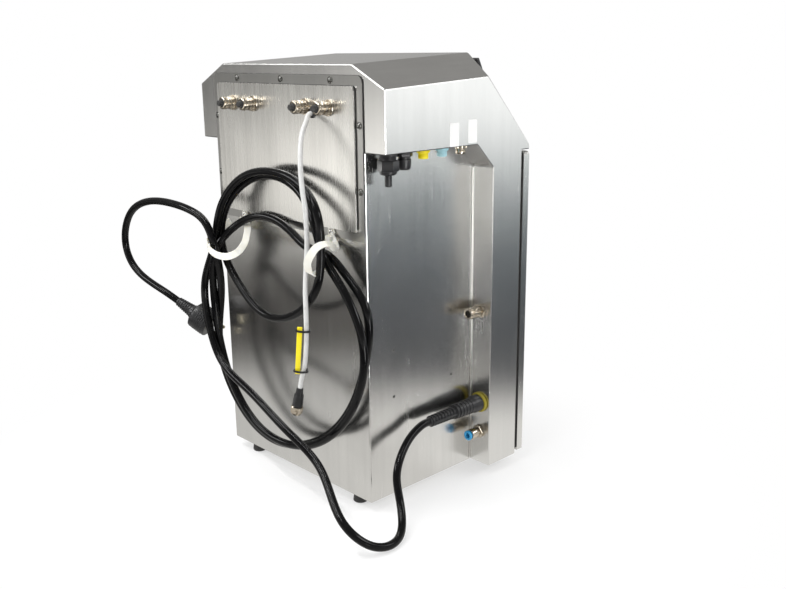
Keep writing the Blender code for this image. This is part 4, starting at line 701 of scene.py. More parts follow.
def spots(points):
    mesh = bpy.data.meshes.new("spots")
    mesh.from_pydata([tuple(p) for p in points], [], [])
    return mesh


def line_of(points):
    curve = bpy.data.curves.new("line", "CURVE")
    curve.dimensions = "3D"
    spline = curve.splines.new("POLY")
    spline.points.add(len(points) - 1)
    for point, co in zip(spline.points, points):
        point.co = (*co, 1.0)
    return curve


def screw_recipe():
    """Cross-recess pan heads with washers, one on each point, all facing the same way."""
    recipe = Recipe("pan_screws", Head_Radius=0.0031, Head_Height=0.0022, Washer_Radius=0.0042,
                    Washer_Height=0.0006, Facing=(0.0, 1.0, 0.0), Seed=3)
    radius, height = recipe.given("Head_Radius"), recipe.given("Head_Height")
    ball = recipe.node("GeometryNodeMeshUVSphere", {}, {"Segments": 28, "Rings": 14, "Radius": radius})
    squat = recipe.node("ShaderNodeCombineXYZ", {}, {0: 1.0, 1: 1.0, 2: height / radius})
    dome = recipe.node("GeometryNodeTransform", {}, {0: ball, "Scale": squat})
    slot_size = recipe.node("ShaderNodeCombineXYZ", {}, {0: radius * 1.15, 1: radius * 0.27, 2: height * 1.3})
    bar = recipe.node("GeometryNodeMeshCube", {}, {"Size": slot_size})
    raised = recipe.node("ShaderNodeCombineXYZ", {}, {2: height * 1.15})
    one = recipe.node("GeometryNodeTransform", {}, {0: bar, "Translation": raised})
    two = recipe.node("GeometryNodeTransform", {}, {0: one, "Rotation": (0, 0, math.pi / 2)})
    head = recipe.node("GeometryNodeMeshBoolean", {"operation": "DIFFERENCE"},
                       {0: dome, 1: recipe.node("GeometryNodeMeshBoolean", {"operation": "UNION"},
                                                {1: recipe.join(one, two)})})
    washer = recipe.node("GeometryNodeMeshCylinder", {},
                         {"Vertices": 36, "Radius": recipe.given("Washer_Radius"),
                          "Depth": recipe.given("Washer_Height")})
    aim = recipe.node("FunctionNodeAlignRotationToVector", {"axis": "Z"}, {"Vector": recipe.given("Facing")})
    placed = recipe.node("GeometryNodeInstanceOnPoints", {},
                         {0: recipe.given("Geometry"), "Instance": recipe.join(head, washer),
                          "Rotation": aim})
    spin = recipe.node("FunctionNodeRandomValue", {"data_type": "FLOAT"},
                       {2: 0.0, 3: 1.5, "Seed": recipe.given("Seed")}, 1)
    turn = recipe.node("ShaderNodeCombineXYZ", {}, {2: spin})
    return recipe.close(recipe.node("GeometryNodeRotateInstances", {}, {0: placed, "Rotation": turn}))


def knurl_recipe():
    """Straight knurling: small ridges all round a ring that stands on each point."""
    recipe = Recipe("knurling", Radius=0.007, Length=0.005, Depth=0.0006, Count=36, Facing=(0.0, 1.0, 0.0))
    circle_line = recipe.node("GeometryNodeCurvePrimitiveCircle", {},
                              {"Resolution": recipe.given("Count"), "Radius": recipe.given("Radius")})
    depth = recipe.given("Depth")
    size = recipe.node("ShaderNodeCombineXYZ", {}, {0: depth * 1.3, 1: depth * 1.3,
                                                    2: recipe.given("Length")})
    ridge = recipe.node("GeometryNodeTransform", {},
                        {0: recipe.node("GeometryNodeMeshCube", {}, {"Size": size}),
                         "Rotation": (0, 0, math.pi / 4)})
    tangent = recipe.node("GeometryNodeInputTangent")
    aim = recipe.node("FunctionNodeAlignRotationToVector", {"axis": "X"}, {"Vector": tangent})
    ring = recipe.node("GeometryNodeInstanceOnPoints", {},
                       {0: circle_line, "Instance": ridge, "Rotation": aim})
    lean = recipe.node("FunctionNodeAlignRotationToVector", {"axis": "Z"}, {"Vector": recipe.given("Facing")})
    return recipe.close(recipe.node("GeometryNodeInstanceOnPoints", {},
                                    {0: recipe.given("Geometry"), "Instance": ring, "Rotation": lean}))


def rib_recipe():
    """Rings threaded on a line, shrinking from its start to its end."""
    recipe = Recipe("threaded_ribs", Count=8, Start_Radius=0.008, End_Radius=0.006, Thickness=0.0011)
    line = recipe.node("GeometryNodeResampleCurve", {},
                       {0: recipe.given("Geometry"), "Count": recipe.given("Count")})
    loop = recipe.node("GeometryNodeCurvePrimitiveCircle", {}, {"Resolution": 40, "Radius": 1.0})
    along = recipe.node("GeometryNodeSplineParameter")
    size = recipe.node("ShaderNodeMapRange", {}, {"Value": along, "To Min": recipe.given("Start_Radius"),
                                                  "To Max": recipe.given("End_Radius")})
    aim = recipe.node("FunctionNodeAlignRotationToVector", {"axis": "Z"},
                      {"Vector": recipe.node("GeometryNodeInputTangent")})
    scale = recipe.node("ShaderNodeCombineXYZ", {}, {0: size, 1: size, 2: size})
    rings = recipe.node("GeometryNodeInstanceOnPoints", {},
                        {0: line, "Instance": loop, "Rotation": aim, "Scale": scale})
    loops = recipe.node("GeometryNodeRealizeInstances", {}, {0: rings})
    section = recipe.node("GeometryNodeCurvePrimitiveCircle", {},
                          {"Resolution": 10, "Radius": recipe.given("Thickness")})
    return recipe.close(recipe.node("GeometryNodeCurveToMesh", {}, {0: loops, 1: section}))


def tooth_recipe():
    """Small bars laid across a band, evenly along its line."""
    recipe = Recipe("band_teeth", Spacing=0.0016, Width=0.0052, Height=0.0005, Across=(0.0, 0.0, 1.0))
    line = recipe.node("GeometryNodeResampleCurve", {"mode": "LENGTH"},
                       {0: recipe.given("Geometry"), "Length": recipe.given("Spacing")})
    spacing = recipe.given("Spacing")
    size = recipe.node("ShaderNodeCombineXYZ", {}, {0: spacing * 0.45, 1: recipe.given("Height"),
                                                    2: recipe.given("Width")})
    bar = recipe.node("GeometryNodeMeshCube", {}, {"Size": size})
    stand = recipe.node("FunctionNodeAlignRotationToVector", {"axis": "Z"},
                        {"Vector": recipe.given("Across")})
    aim = recipe.node("FunctionNodeAlignRotationToVector", {"axis": "X", "pivot_axis": "Z"},
                      {"Rotation": stand, "Vector": recipe.node("GeometryNodeInputTangent")})
    return recipe.close(recipe.node("GeometryNodeInstanceOnPoints", {},
                                    {0: line, "Instance": bar, "Rotation": aim}))


SCREWS, KNURLS, RIBS, TEETH = screw_recipe(), knurl_recipe(), rib_recipe(), tooth_recipe()


# ------------------------------------------------------------------ cords, laid first
MAINS_ROUTE = (
    (-155, -80, 97), (-155, -72, 97), (-155, -54, 90), (-162, -29.5, 77), (-170, -12, 55.5),
    (-180.5, -6.5, 29.5), (-202, 12, 9), (-212, 33, 5.2), (-212, 50, 7), (-205.5, 69, 16.5),
    (-180, 81, 39), (-117.5, 58, 71),
    (-62, 62, 102), (14, 58, 128), (84, 51, 149), (114, 48, 196), (120, 45, 247), (100, 42, 293),
    (86, 37, 344), (51, 28, 382), (-10, 26, 394), (-68, 30, 383), (-100, 35, 354), (-103, 35, 311),
    (-100, 39, 277), (-56, 36, 236), (10, 34, 222), (61, 32, 248), (95, 32, 292), (89, 28, 341),
    (55, 18, 376), (-3, 16, 387), (-54, 20, 371), (-86, 28, 340), (-96, 25, 307), (-122, 24, 279),
    (-154, 24, 230), (-154, 24, 175), (-116, 26, 110), (-52, 32, 69), (27, 36, 70), (82, 38, 117),
    (105, 39, 177), (108, 41, 242), (92, 43, 291), (81, 26, 316), (46, 13, 334), (-16, 14, 328),
    (-65, 22, 313), (-92, 17, 308), (-117, 11, 287), (-149, 11, 254), (-148, 10, 205), (-126, 12, 141),
    (-71, 16, 80), (14, 24, 53), (84, 28, 86), (122, 28, 156), (103, 33, 234), (85, 50, 296),
    (99.7, 53, 326.5), (124, 57, 338), (160, 58.2, 342), (208, 60, 341), (250.5, 61, 330.3),
    (279.3, 61, 310.5), (296, 60, 279.4), (291.8, 58.5, 252.8), (273, 56, 234.4), (234.3, 55, 223),
    (207.1, 51.7, 215.4), (192.3, 44.5, 205.9),
)
SIGNAL_ROUTE = (
    (-60, 5.4, 460.8), (-60.2, 10, 460.6), (-66, 19, 454), (-70.5, 27, 446), (-74.5, 34, 434.5),
    (-79, 39, 423), (-83.2, 43, 409), (-86.5, 45, 394.5), (-88.5, 45, 377.5), (-90, 44, 362),
    (-88.6, 42, 337), (-85.8, 40, 320), (-83.6, 40, 303), (-84.9, 42.7, 286.8), (-87.6, 46, 271),
    (-89.4, 47.7, 255), (-90, 48.2, 240), (-89.6, 48.5, 221), (-87.8, 49, 198.4), (-83.6, 49, 179.8),
    (-78.2, 49, 166), (-75, 49, 154.6),
)
MAINS_DIAMETER, SIGNAL_DIAMETER = 0.0095, 0.0056
GAP = 0.3                                     # millimetres between pieces that touch


def smooth_route(route, count):
    """Even points on one smooth curve through a route's own points, and the curve's length."""
    own = np.array([at(*point) for point in route])
    knots = np.concatenate(([0.0], np.cumsum(np.linalg.norm(np.diff(own, axis=0), axis=1) ** 0.5)))
    steps = np.diff(knots)
    size = len(own)
    matrix = np.zeros((size, size))
    matrix[0, :2] = 2, 1
    matrix[-1, -2:] = 1, 2
    rises = np.zeros((size, 3))
    slopes = np.diff(own, axis=0) / steps[:, None]
    for i in range(1, size - 1):
        matrix[i, i - 1:i + 2] = steps[i - 1], 2 * (steps[i - 1] + steps[i]), steps[i]
        rises[i] = 6 * (slopes[i] - slopes[i - 1])
    bends = np.linalg.solve(matrix, rises)
    fine = np.linspace(0, knots[-1], 9000)
    cell = np.clip(np.searchsorted(knots, fine, side="right") - 1, 0, size - 2)
    step = steps[cell][:, None]
    near = (knots[cell + 1] - fine)[:, None]
    far = (fine - knots[cell])[:, None]
    curve = (bends[cell] * near ** 3 + bends[cell + 1] * far ** 3) / (6 * step)
    curve += (own[cell] / step - bends[cell] * step / 6) * near
    curve += (own[cell + 1] / step - bends[cell + 1] * step / 6) * far
    along = np.concatenate(([0.0], np.cumsum(np.linalg.norm(np.diff(curve, axis=0), axis=1))))
    wanted = np.linspace(0, along[-1], count)
    return [Vector([np.interp(w, along, curve[:, k]) for k in range(3)]) for w in wanted], float(along[-1])


def sheath(name, points, diameter, finish):
    curve = bpy.data.curves.new(name, "CURVE")
    curve.dimensions = "3D"
    curve.bevel_depth = diameter / 2
    curve.bevel_resolution = 5
    curve.use_fill_caps = True
    curve.resolution_u = 1
    spline = curve.splines.new("POLY")
    spline.points.add(len(points) - 1)
    for point, co in zip(spline.points, points):
        point.co = (*co, 1.0)
    spline.use_smooth = True
    curve.materials.append(finish.material)
    obj = bpy.data.objects.new(name, curve)
    SCENE.collection.objects.link(obj)
    return obj


MAINS_POINTS, MAINS_LENGTH = smooth_route(MAINS_ROUTE, 900)
SIGNAL_POINTS, SIGNAL_LENGTH = smooth_route(SIGNAL_ROUTE, 120)


def make_inlet_plug():
    """The moulded plug in the inlet: collar, ladder of ribs and the sleeve that the cord leaves by."""
    seat = at(-155, -172.5 + 3.5 + 2 * GAP, 97)
    length = (MAINS_POINTS[0].y - seat.y) * 1000 - GAP
    relief = length - 46
    stand = facing(seat, OUT)
    plug = Piece("inlet_plug_body")
    body = [(0, 0), (10.2, 0), (10.8, 0.8), (10.8, 10), (10.3, 12), (9.6, 13.5), (9.3, 20), (8.9, 30),
            (8.4, relief - 6), (7.6, relief - 1), (6.4, relief), (6.0, relief + 2), (5.5, length - 6),
            (5.3, length - 0.8), (4.9, length), (0, length)]
    plug.add(turned(body, 56), BLACK, stand)
    for side in (1, -1):
        rail = cuboid((side * 6.6 - 1.2, -1.3, relief + 1), (side * 6.6 + 1.2, 1.3, length - 3), 0.5)
        plug.add(rail, BLACK, stand)
    for i in range(6):
        top = 16.5 + i * 5.2
        plug.add(ring_solid([(8.6 - i * 0.12, top), (9.9 - i * 0.16, top + 0.4), (9.9 - i * 0.16, top + 2.2),
                             (8.6 - i * 0.12, top + 2.6)], 56), BLACK, stand)
    plug_piece = plug.done("cabinet", "inlet_plug")
    start, end = seat + OUT * (relief + 2.5) / 1000, seat + OUT * (length - 3) / 1000
    ladder = RIBS.make("inlet_plug_ladder", line_of([start, (start + end) / 2, end]), BLACK, "cabinet",
                       Count=9, Start_Radius=0.0066, End_Radius=0.0059, Thickness=0.00115)
    return [plug_piece, ladder]


def make_mains_plug():
    """Round two-pin plug: ribbed relief, waisted grip with finger ridges, flat face and pins."""
    heading = (MAINS_POINTS[-1] - MAINS_POINTS[-4]).normalized()
    start = MAINS_POINTS[-1] + heading * GAP / 1000
    side = heading.cross(Vector((0, 1, 0))).normalized()
    other = heading.cross(side)
    stand = Matrix.Translation(start) @ Matrix((side, other, heading)).transposed().to_4x4()
    plug = Piece("mains_plug_body")
    plug.add(turned([(0, 0), (5.0, 0), (5.4, 0.6), (6.6, 12), (7.4, 18), (8.2, 22.5), (10.2, 26.4),
                     (14.5, 28.6),
                     (17.2, 30.2), (18.1, 32.6), (18.2, 36), (18.0, 44), (18.2, 52), (18.1, 54.8),
                     (17.4, 55.9), (16.6, 56), (0, 56)], 64), BLACK, stand)
    for sign in (1, -1):
        foot = Matrix.Translation((sign * 0.0095, 0, 0))
        plug.add(turned([(0, 55), (3.6, 55), (3.6, 57.2), (3.2, 57.6), (0, 57.6)], 32), BLACK, stand @ foot)
        plug.add(turned([(0, 56), (2.4, 56), (2.4, 73.4), (2.0, 74.6), (1.1, 75.2), (0, 75.3)], 32),
                 BRASS_PIN, stand @ foot)
        plug.add(cuboid((sign * 16.2 - 2.2, -5.0, 33), (sign * 16.2 + 2.2, 5.0, 54.5), 0.8), BLACK, stand)
    plug_piece = plug.done("cabinet", "mains_plug")
    ridges = RIBS.make("mains_plug_ridges", line_of([start + heading * 0.038, start + heading * 0.050]),
                       BLACK, "cabinet", Count=5, Start_Radius=0.0179, End_Radius=0.0180, Thickness=0.0007)
    relief = RIBS.make("mains_plug_relief", line_of([start + heading * 0.002, start + heading * 0.021]),
                       BLACK, "cabinet", Count=7, Start_Radius=0.0055, End_Radius=0.0077, Thickness=0.0008)
    return [plug_piece, ridges, relief]


# The coupling ring's own axis, in metres.
PLUG_AXIS = Vector((0.26854, -0.00003, -0.96327)).normalized()
AXIS_POINT = Vector((-0.029599, 0.144262, -0.008256))


def make_signal_plug():
    heading = PLUG_AXIS
    start = AXIS_POINT + heading * ((SIGNAL_POINTS[-1] - AXIS_POINT).dot(heading) + GAP / 1000)
    stand = facing(start, heading)
    plug = Piece("signal_plug_body")
    plug.add(turned([(0, 0), (3.4, 0), (3.8, 0.8), (4.4, 8), (4.9, 9.5), (5.2, 11), (5.3, 16), (5.7, 22.4),
                     (5.8, 23), (5.3, 24.4), (3.0, 24.5), (3.0, 34), (0, 34)], 48), BLACK, stand)
    plug_piece = plug.done("cabinet", "signal_plug")
    grip = RIBS.make("signal_plug_grip", line_of([start + heading * 0.010, start + heading * 0.0225]), BLACK,
                     "cabinet", Count=7, Start_Radius=0.0050, End_Radius=0.0056, Thickness=0.0006)
    foot = start + heading * 0.0248
    ring = Piece("coupling_ring_body")
    ring.add(ring_solid([(3.3, 0), (6.3, 0), (6.7, 0.5), (6.7, 8.6), (6.2, 9.4), (5.9, 10.4), (3.3, 10.4)],
                        48),
             NICKEL, facing(foot, heading))
    ring_piece = ring.done("plug_ring", "coupling_ring")
    knurl = KNURLS.make("coupling_ring_knurl", spots([foot + heading * 0.0048]), NICKEL, "plug_ring",
                        Radius=0.0066, Length=0.0072, Depth=0.00045, Count=40, Facing=tuple(heading))
    return [plug_piece, grip, ring_piece, knurl]


def make_marker():
    """Yellow sleeve beside the cable, tied to it at both ends."""
    low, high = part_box("cable_marker")
    middle = (low + high) / 2
    near = min(SIGNAL_POINTS, key=lambda p: (p - middle).length)
    index = SIGNAL_POINTS.index(near)
    axis = (SIGNAL_POINTS[index - 4] - SIGNAL_POINTS[index + 4]).normalized()
    beside = (middle - near)
    beside = (beside - axis * beside.dot(axis)).normalized()
    stand = Matrix.Translation(middle) @ Matrix((beside, axis.cross(beside), axis)).transposed().to_4x4()
    marker = Piece("cable_marker_sleeve")
    marker.add(cuboid((-2.9, -1.4, -28.5), (2.9, 1.4, 28.5), 0.9, 3), YELLOW, stand)
    marker_piece = marker.done("cabinet", "cable_marker")
    ties = Piece("cable_marker_ties")
    centre = middle - beside * 0.0035
    for offset in (-0.0245, 0.0245):
        loop = [centre + axis * offset + beside * 0.0082 * math.cos(a)
                + axis.cross(beside) * 0.0042 * math.sin(a)
                for a in (2 * math.pi * i / 32 for i in range(32))]
        ties.add(closed_band(loop, axis, 2.4, 0.9), BLACK)
        knot = Matrix.Translation(centre + axis * offset) @ stand.to_3x3().to_4x4()
        ties.add(cuboid((-7.6, -5.6, -1.9), (-3.6, -2.4, 1.9), 0.7), BLACK, knot)
    return [marker_piece, ties.done("cabinet")]


def closed_band(loop, across, width, thickness):
    """A flat band along a closed loop: across is the direction of its width."""
    bm = bmesh.new()
    centre = sum(loop, Vector()) / len(loop)
    rings = []
    for point in loop:
        out = (point - centre)
        out = (out - across * out.dot(across)).normalized() * thickness / 2000
        wide = across * width / 2000
        rings.append([bm.verts.new(point + o + w)
                      for o, w in ((-out, -wide), (out, -wide), (out, wide), (-out, wide))])
    for low, high in zip(rings, rings[1:] + rings[:1]):
        for i in range(4):
            j = (i + 1) % 4
            bm.faces.new((low[i], low[j], high[j], high[i]))
    bmesh.ops.recalc_face_normals(bm, faces=bm.faces)
    return bm


def lay_cords():
    mains = settle(sheath("mains_lead", MAINS_POINTS, MAINS_DIAMETER, CORD), CORD, "cabinet", "mains_cord")
    make_inlet_plug() + make_mains_plug()
    signal = settle(sheath("signal_lead", SIGNAL_POINTS, SIGNAL_DIAMETER, CABLE), CABLE, "cabinet",
                    "signal_cable")
    make_signal_plug() + make_marker()


lay_cords()


# ------------------------------------------------------------------ connector plate and its sockets
def make_back_socket(number):
    """Nickel socket: flange ring, knurled nut, grooved barrel, lip and its black rubber insert."""
    name = f"back_socket_{number}"
    low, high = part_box(name)
    middle = Vector(((low.x + high.x) / 2, at(0, 5.4, 0).y, (low.z + high.z) / 2))
    stand = facing(middle, OUT)
    socket = Piece(name + "_shell")
    socket.add(turned([(0, -13), (6.5, -13), (6.5, 0.1), (9.2, 0.1), (9.2, 1.5), (8.9, 2.0), (7.9, 2.1),
                       (7.7, 5.6),
                       (7.1, 5.7), (7.1, 6.2), (7.3, 6.4), (7.3, 9.0), (7.0, 9.2), (6.3, 9.4), (6.3, 11.0),
                       (6.6, 11.2), (7.3, 11.6), (7.3, 16.2), (7.0, 17.0), (6.4, 17.4), (5.3, 17.5),
                       (4.9, 17.2), (4.7, 15.5), (0, 15.5)], 56), NICKEL, stand)
    socket.done("cabinet", name)
    tip = Piece(name + "_insert")
    tip.add(turned([(0, 15.2), (4.5, 15.2), (4.5, 17.6), (3.6, 18.2), (3.5, 21.6), (3.0, 22.4), (0, 22.4)],
                   40),
            SOFT_BLACK, stand)
    tip.done("cabinet")
    KNURLS.make(name + "_knurl", spots([middle + OUT * 0.0039]), NICKEL, "cabinet", Radius=0.0077,
                Length=0.0032, Depth=0.0005, Count=44, Facing=tuple(OUT))
    KNURLS.make(name + "_grip", spots([middle + OUT * 0.0140]), NICKEL, "cabinet", Radius=0.0072,
                Length=0.0034, Depth=0.00035, Count=44, Facing=tuple(OUT))


def outline_strip(name, width, height, radius, middle_z, out, thick, tall, finish):
    """A thin gasket line round an upright plate on the back."""
    outer = rounded(width, height, radius)
    inner = rounded(width - 2 * thick, height - 2 * thick, max(radius - thick, 0.2))
    strip = Piece(name)
    strip.add(extruded([outer, inner], tall), finish,
              Matrix.Translation(at(0, out, middle_z)) @ Matrix.Rotation(math.pi / 2, 4, "X"), smooth=False)
    return strip.done("cabinet")


def dress_back():
    for number in (1, 2, 3, 4):
        make_back_socket(number)
    flange_low, flange_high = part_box("cover_flange")
    plate_low, plate_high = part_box("connector_plate")
    flange_z = (flange_low.z + flange_high.z) * 500
    plate_z = (plate_low.z + plate_high.z) * 500
    outline_strip("flange_gasket", 277.5, 177.5, 8.2, flange_z, 0.75, 0.9, 1.1, SOFT_BLACK)
    outline_strip("plate_gasket", 256.9, 156.9, 5.4, plate_z, 2.6, 1.2, 1.0, SOFT_BLACK)
    screws = [(x, 2.0, 497.2) for x in (-87.5, 1.0, 87.5)]
    screws += [(x, 2.0, z) for x in (-133.6, 133.6) for z in (451, 380.5)]
    screws += [(1.0, 2.0, 331.0)]
    # The flange screws take the darkened zinc, painted shade.
    SCREWS.make("flange_screws", spots([at(*place) for place in screws]), SHADED_ZINC, "cabinet",
                Head_Radius=0.0031, Head_Height=0.0020, Washer_Radius=0.0040, Washer_Height=0.0008,
                Facing=tuple(OUT))
    grommet = Piece("cable_grommet")
    start = SIGNAL_POINTS[0]
    grommet.add(ring_solid([(2.9, 0), (5.0, 0), (5.0, 1.4), (4.2, 2.4), (3.1, 2.6)], 40), SOFT_BLACK,
                facing(Vector((start.x, at(0, 5.2, 0).y, start.z)), OUT))
    grommet.done("cabinet")


def band_along(points, faces, width, thickness):
    """A flat band along a path, its width and thickness in millimetres, its broad face turned as given."""
    bm = bmesh.new()
    rings = []
    for (point, face), (heading, _, _) in zip(zip(points, faces), frames_along(points)):
        out = (face - heading * face.dot(heading)).normalized()
        wide = heading.cross(out) * width / 2000
        out = out * thickness / 2000
        corners = [(-1, -0.8), (-0.96, -1), (0.96, -1), (1, -0.8), (1, 0.8), (0.96, 1), (-0.96, 1), (-1, 0.8)]
        rings.append([bm.verts.new(point + wide * w + out * o) for w, o in corners])
    for low, high in zip(rings, rings[1:]):
        for i in range(8):
            j = (i + 1) % 8
            bm.faces.new((low[i], low[j], high[j], high[i]))
    bm.faces.new(rings[0])
    bm.faces.new(rings[-1])
    bmesh.ops.recalc_face_normals(bm, faces=bm.faces)
    return bm


def eased(route, count):
    """A smooth path through a few points and the broad face's direction at each."""
    places = np.array([at(*p[:3]) for p in route])
    faces = np.array([p[3:] for p in route], float)
    both = np.hstack((places, faces))
    steps = np.linspace(0, len(route) - 1, count)
    found = []
    for s in steps:
        i = min(int(s), len(route) - 2)
        t = s - i
        p = [both[max(i - 1, 0)], both[i], both[i + 1], both[min(i + 2, len(route) - 1)]]
        value = 0.5 * (2 * p[1] + (p[2] - p[0]) * t + (2 * p[0] - 5 * p[1] + 4 * p[2] - p[3]) * t * t
                       + (3 * p[1] - p[0] - 3 * p[2] + p[3]) * t ** 3)
        found.append(value)
    return [Vector(v[:3]) for v in found], [Vector(v[3:]).normalized() for v in found]


# Each band's path: X, out, height, then the direction that its broad face looks in.
LEFT_STRAP = (
    (84, 5, 331, 0, 1, 0), (72, 10, 325, -0.5, 0.8, 0.3), (60, 17, 319, -0.7, 0.66, 0.26),
    (44, 30, 313, -0.7, 0.66, 0.26), (31, 43, 307, -0.7, 0.66, 0.26), (28, 55, 299, -0.7, 0.66, 0.26),
    (40, 62, 293, -0.6, 0.75, 0.1), (60, 63, 292, -0.4, 0.9, 0.0), (78, 61, 295, 0.0, 0.98, 0.0),
    (93, 55, 299, 0.6, 0.8, 0.0), (106, 44, 303, 0.95, 0.2, 0.0), (112, 26, 311, 0.9, -0.4, 0.2),
    (104, 12, 321, 0.5, -0.8, 0.2),
)
RIGHT_STRAP = (
    (-84, 5, 329, 0, 1, 0), (-93, 7, 321, -0.3, 0.9, 0.2), (-101, 12, 316, -0.6, 0.7, 0.3),
    (-107, 20, 319, -0.7, 0.6, 0.4), (-112, 31, 325, -0.6, 0.6, 0.5), (-116, 42, 327, -0.5, 0.7, 0.5),
    (-117, 52, 325, -0.5, 0.8, 0.3), (-115, 58, 318, -0.6, 0.8, 0.1), (-111, 60, 309, -0.6, 0.8, -0.1),
    (-107, 56, 300, -0.4, 0.8, -0.4), (-101, 48, 293, 0.1, 0.6, -0.8), (-95, 34, 290, 0.6, 0.1, -0.8),
    (-91, 20, 298, 0.9, -0.3, -0.3), (-87, 10, 312, 0.6, -0.8, 0),
)


def make_straps():
    """Natural nylon ties round the coiled cord, each held by an eyelet screw at the flange's foot."""
    for side, path, x in (("left", LEFT_STRAP, 84), ("right", RIGHT_STRAP, -84)):
        points, faces = eased(path, 90)
        strap = Piece(f"{side}_strap_band")
        strap.add(band_along(points, faces, 8.4, 1.3), NYLON)
        eye = facing(at(x, 2.1, 331), OUT)
        strap.add(ring_solid([(2.2, 0), (5.6, 0), (5.9, 0.5), (5.9, 1.5), (5.4, 2.0), (2.2, 2.0)], 40), NYLON,
                  eye)
        strap.add(cuboid((x - 4.6, 0, 319.5), (x + 4.6, 7.2, 327.5), 1.0), NYLON,
                  Matrix.Translation((0, at(0, 2.1, 0).y, 0)))
        strap.done("cabinet", f"cord_strap_{side}")
    SCREWS.make("strap_screws", spots([at(x, 4.2, 331) for x in (-84, 84)]), ZINC, "cabinet",
                Head_Radius=0.0030,
                Head_Height=0.0019, Washer_Radius=0.0036, Washer_Height=0.0004, Facing=tuple(OUT))


dress_back()
make_straps()


# ------------------------------------------------------------------ ports under the hood and on the step wall
UNDER_PORT_X = -155
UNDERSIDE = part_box("rear_shell")[1].z * 1000 + 0.3


def make_glands():
    gland = Piece("printhead_gland_body")
    stand = facing(at(UNDER_PORT_X, -19, UNDERSIDE), DOWN)
    gland.add(turned([(0, -3), (7.3, -3), (7.3, 0.4), (10, 0.4), (10, 2.6), (9.6, 2.9), (8.2, 3.0),
                      (8.2, 7.5), (0, 7.5)], 48), BLACK, stand)
    gland.add(hexagon(20.5, 7.5, 19.3), BLACK, stand @ Matrix.Rotation(0.30, 4, "Z"), smooth=False)
    gland.add(turned([(0, 19), (9.6, 19.2), (9.7, 20.2), (8.9, 22.2), (7.2, 23.2), (4.2, 23.6), (4.0, 24),
                      (4.0, 35), (3.2, 36), (0, 36)], 48), BLACK, stand)
    gland.done("cabinet", "printhead_gland")
    RIBS.make("printhead_gland_thread", line_of([at(UNDER_PORT_X, -19, UNDERSIDE - 3.4),
                                                 at(UNDER_PORT_X, -19, UNDERSIDE - 7.1)]), BLACK, "cabinet",
              Count=4, Start_Radius=0.0083, End_Radius=0.0083, Thickness=0.0005)
    spare = Piece("spare_gland_body")
    stand = facing(at(UNDER_PORT_X, -43, UNDERSIDE), DOWN)
    spare.add(turned([(0, -3), (5.8, -3), (5.8, 0.4), (8.8, 0.4), (8.8, 1.4), (0, 1.4)], 48), BLACK, stand)
    spare.add(hexagon(16.5, 1.4, 5.6), BLACK, stand, smooth=False)
    spare.add(turned([(0, 5.5), (6.8, 5.6), (6.8, 7.9), (7.6, 8.6), (7.5, 12), (7.0, 17.6), (6.2, 19.2),
                      (4.9, 20), (0, 20)], 48), BLACK, stand)
    spare.done("cabinet", "spare_gland")


def make_under_socket(name, depth, finish, depth_shade):
    socket = Piece(name + "_shell")
    stand = facing(at(UNDER_PORT_X, -depth, UNDERSIDE), DOWN)
    socket.add(turned([(0, -3), (5.3, -3), (5.3, 0.4), (7.2, 0.4), (7.2, 3.4), (6.8, 4.1), (5.6, 4.3),
                       (5.6, 5.2),
                       (5.8, 5.5), (5.8, 9.6), (5.4, 10.3), (4.6, 10.5), (4.2, 10.2), (4.0, 6.0), (0, 6.0)],
                      48),
               finish, stand)
    socket.done("cabinet", name)
    # Near-black core deep in the socket: painted shade for its bore.
    core = Piece(name + "_core")
    core.add(turned([(0, 5.9), (3.9, 5.9), (3.9, 7.6), (3.3, 8.2), (0, 8.2)], 32), depth_shade, stand)
    core.done("cabinet")
    KNURLS.make(name + "_knurl", spots([at(UNDER_PORT_X, -depth, UNDERSIDE - 2.2)]), finish, "cabinet",
                Radius=0.0071, Length=0.0024, Depth=0.00045, Count=30, Facing=tuple(DOWN))


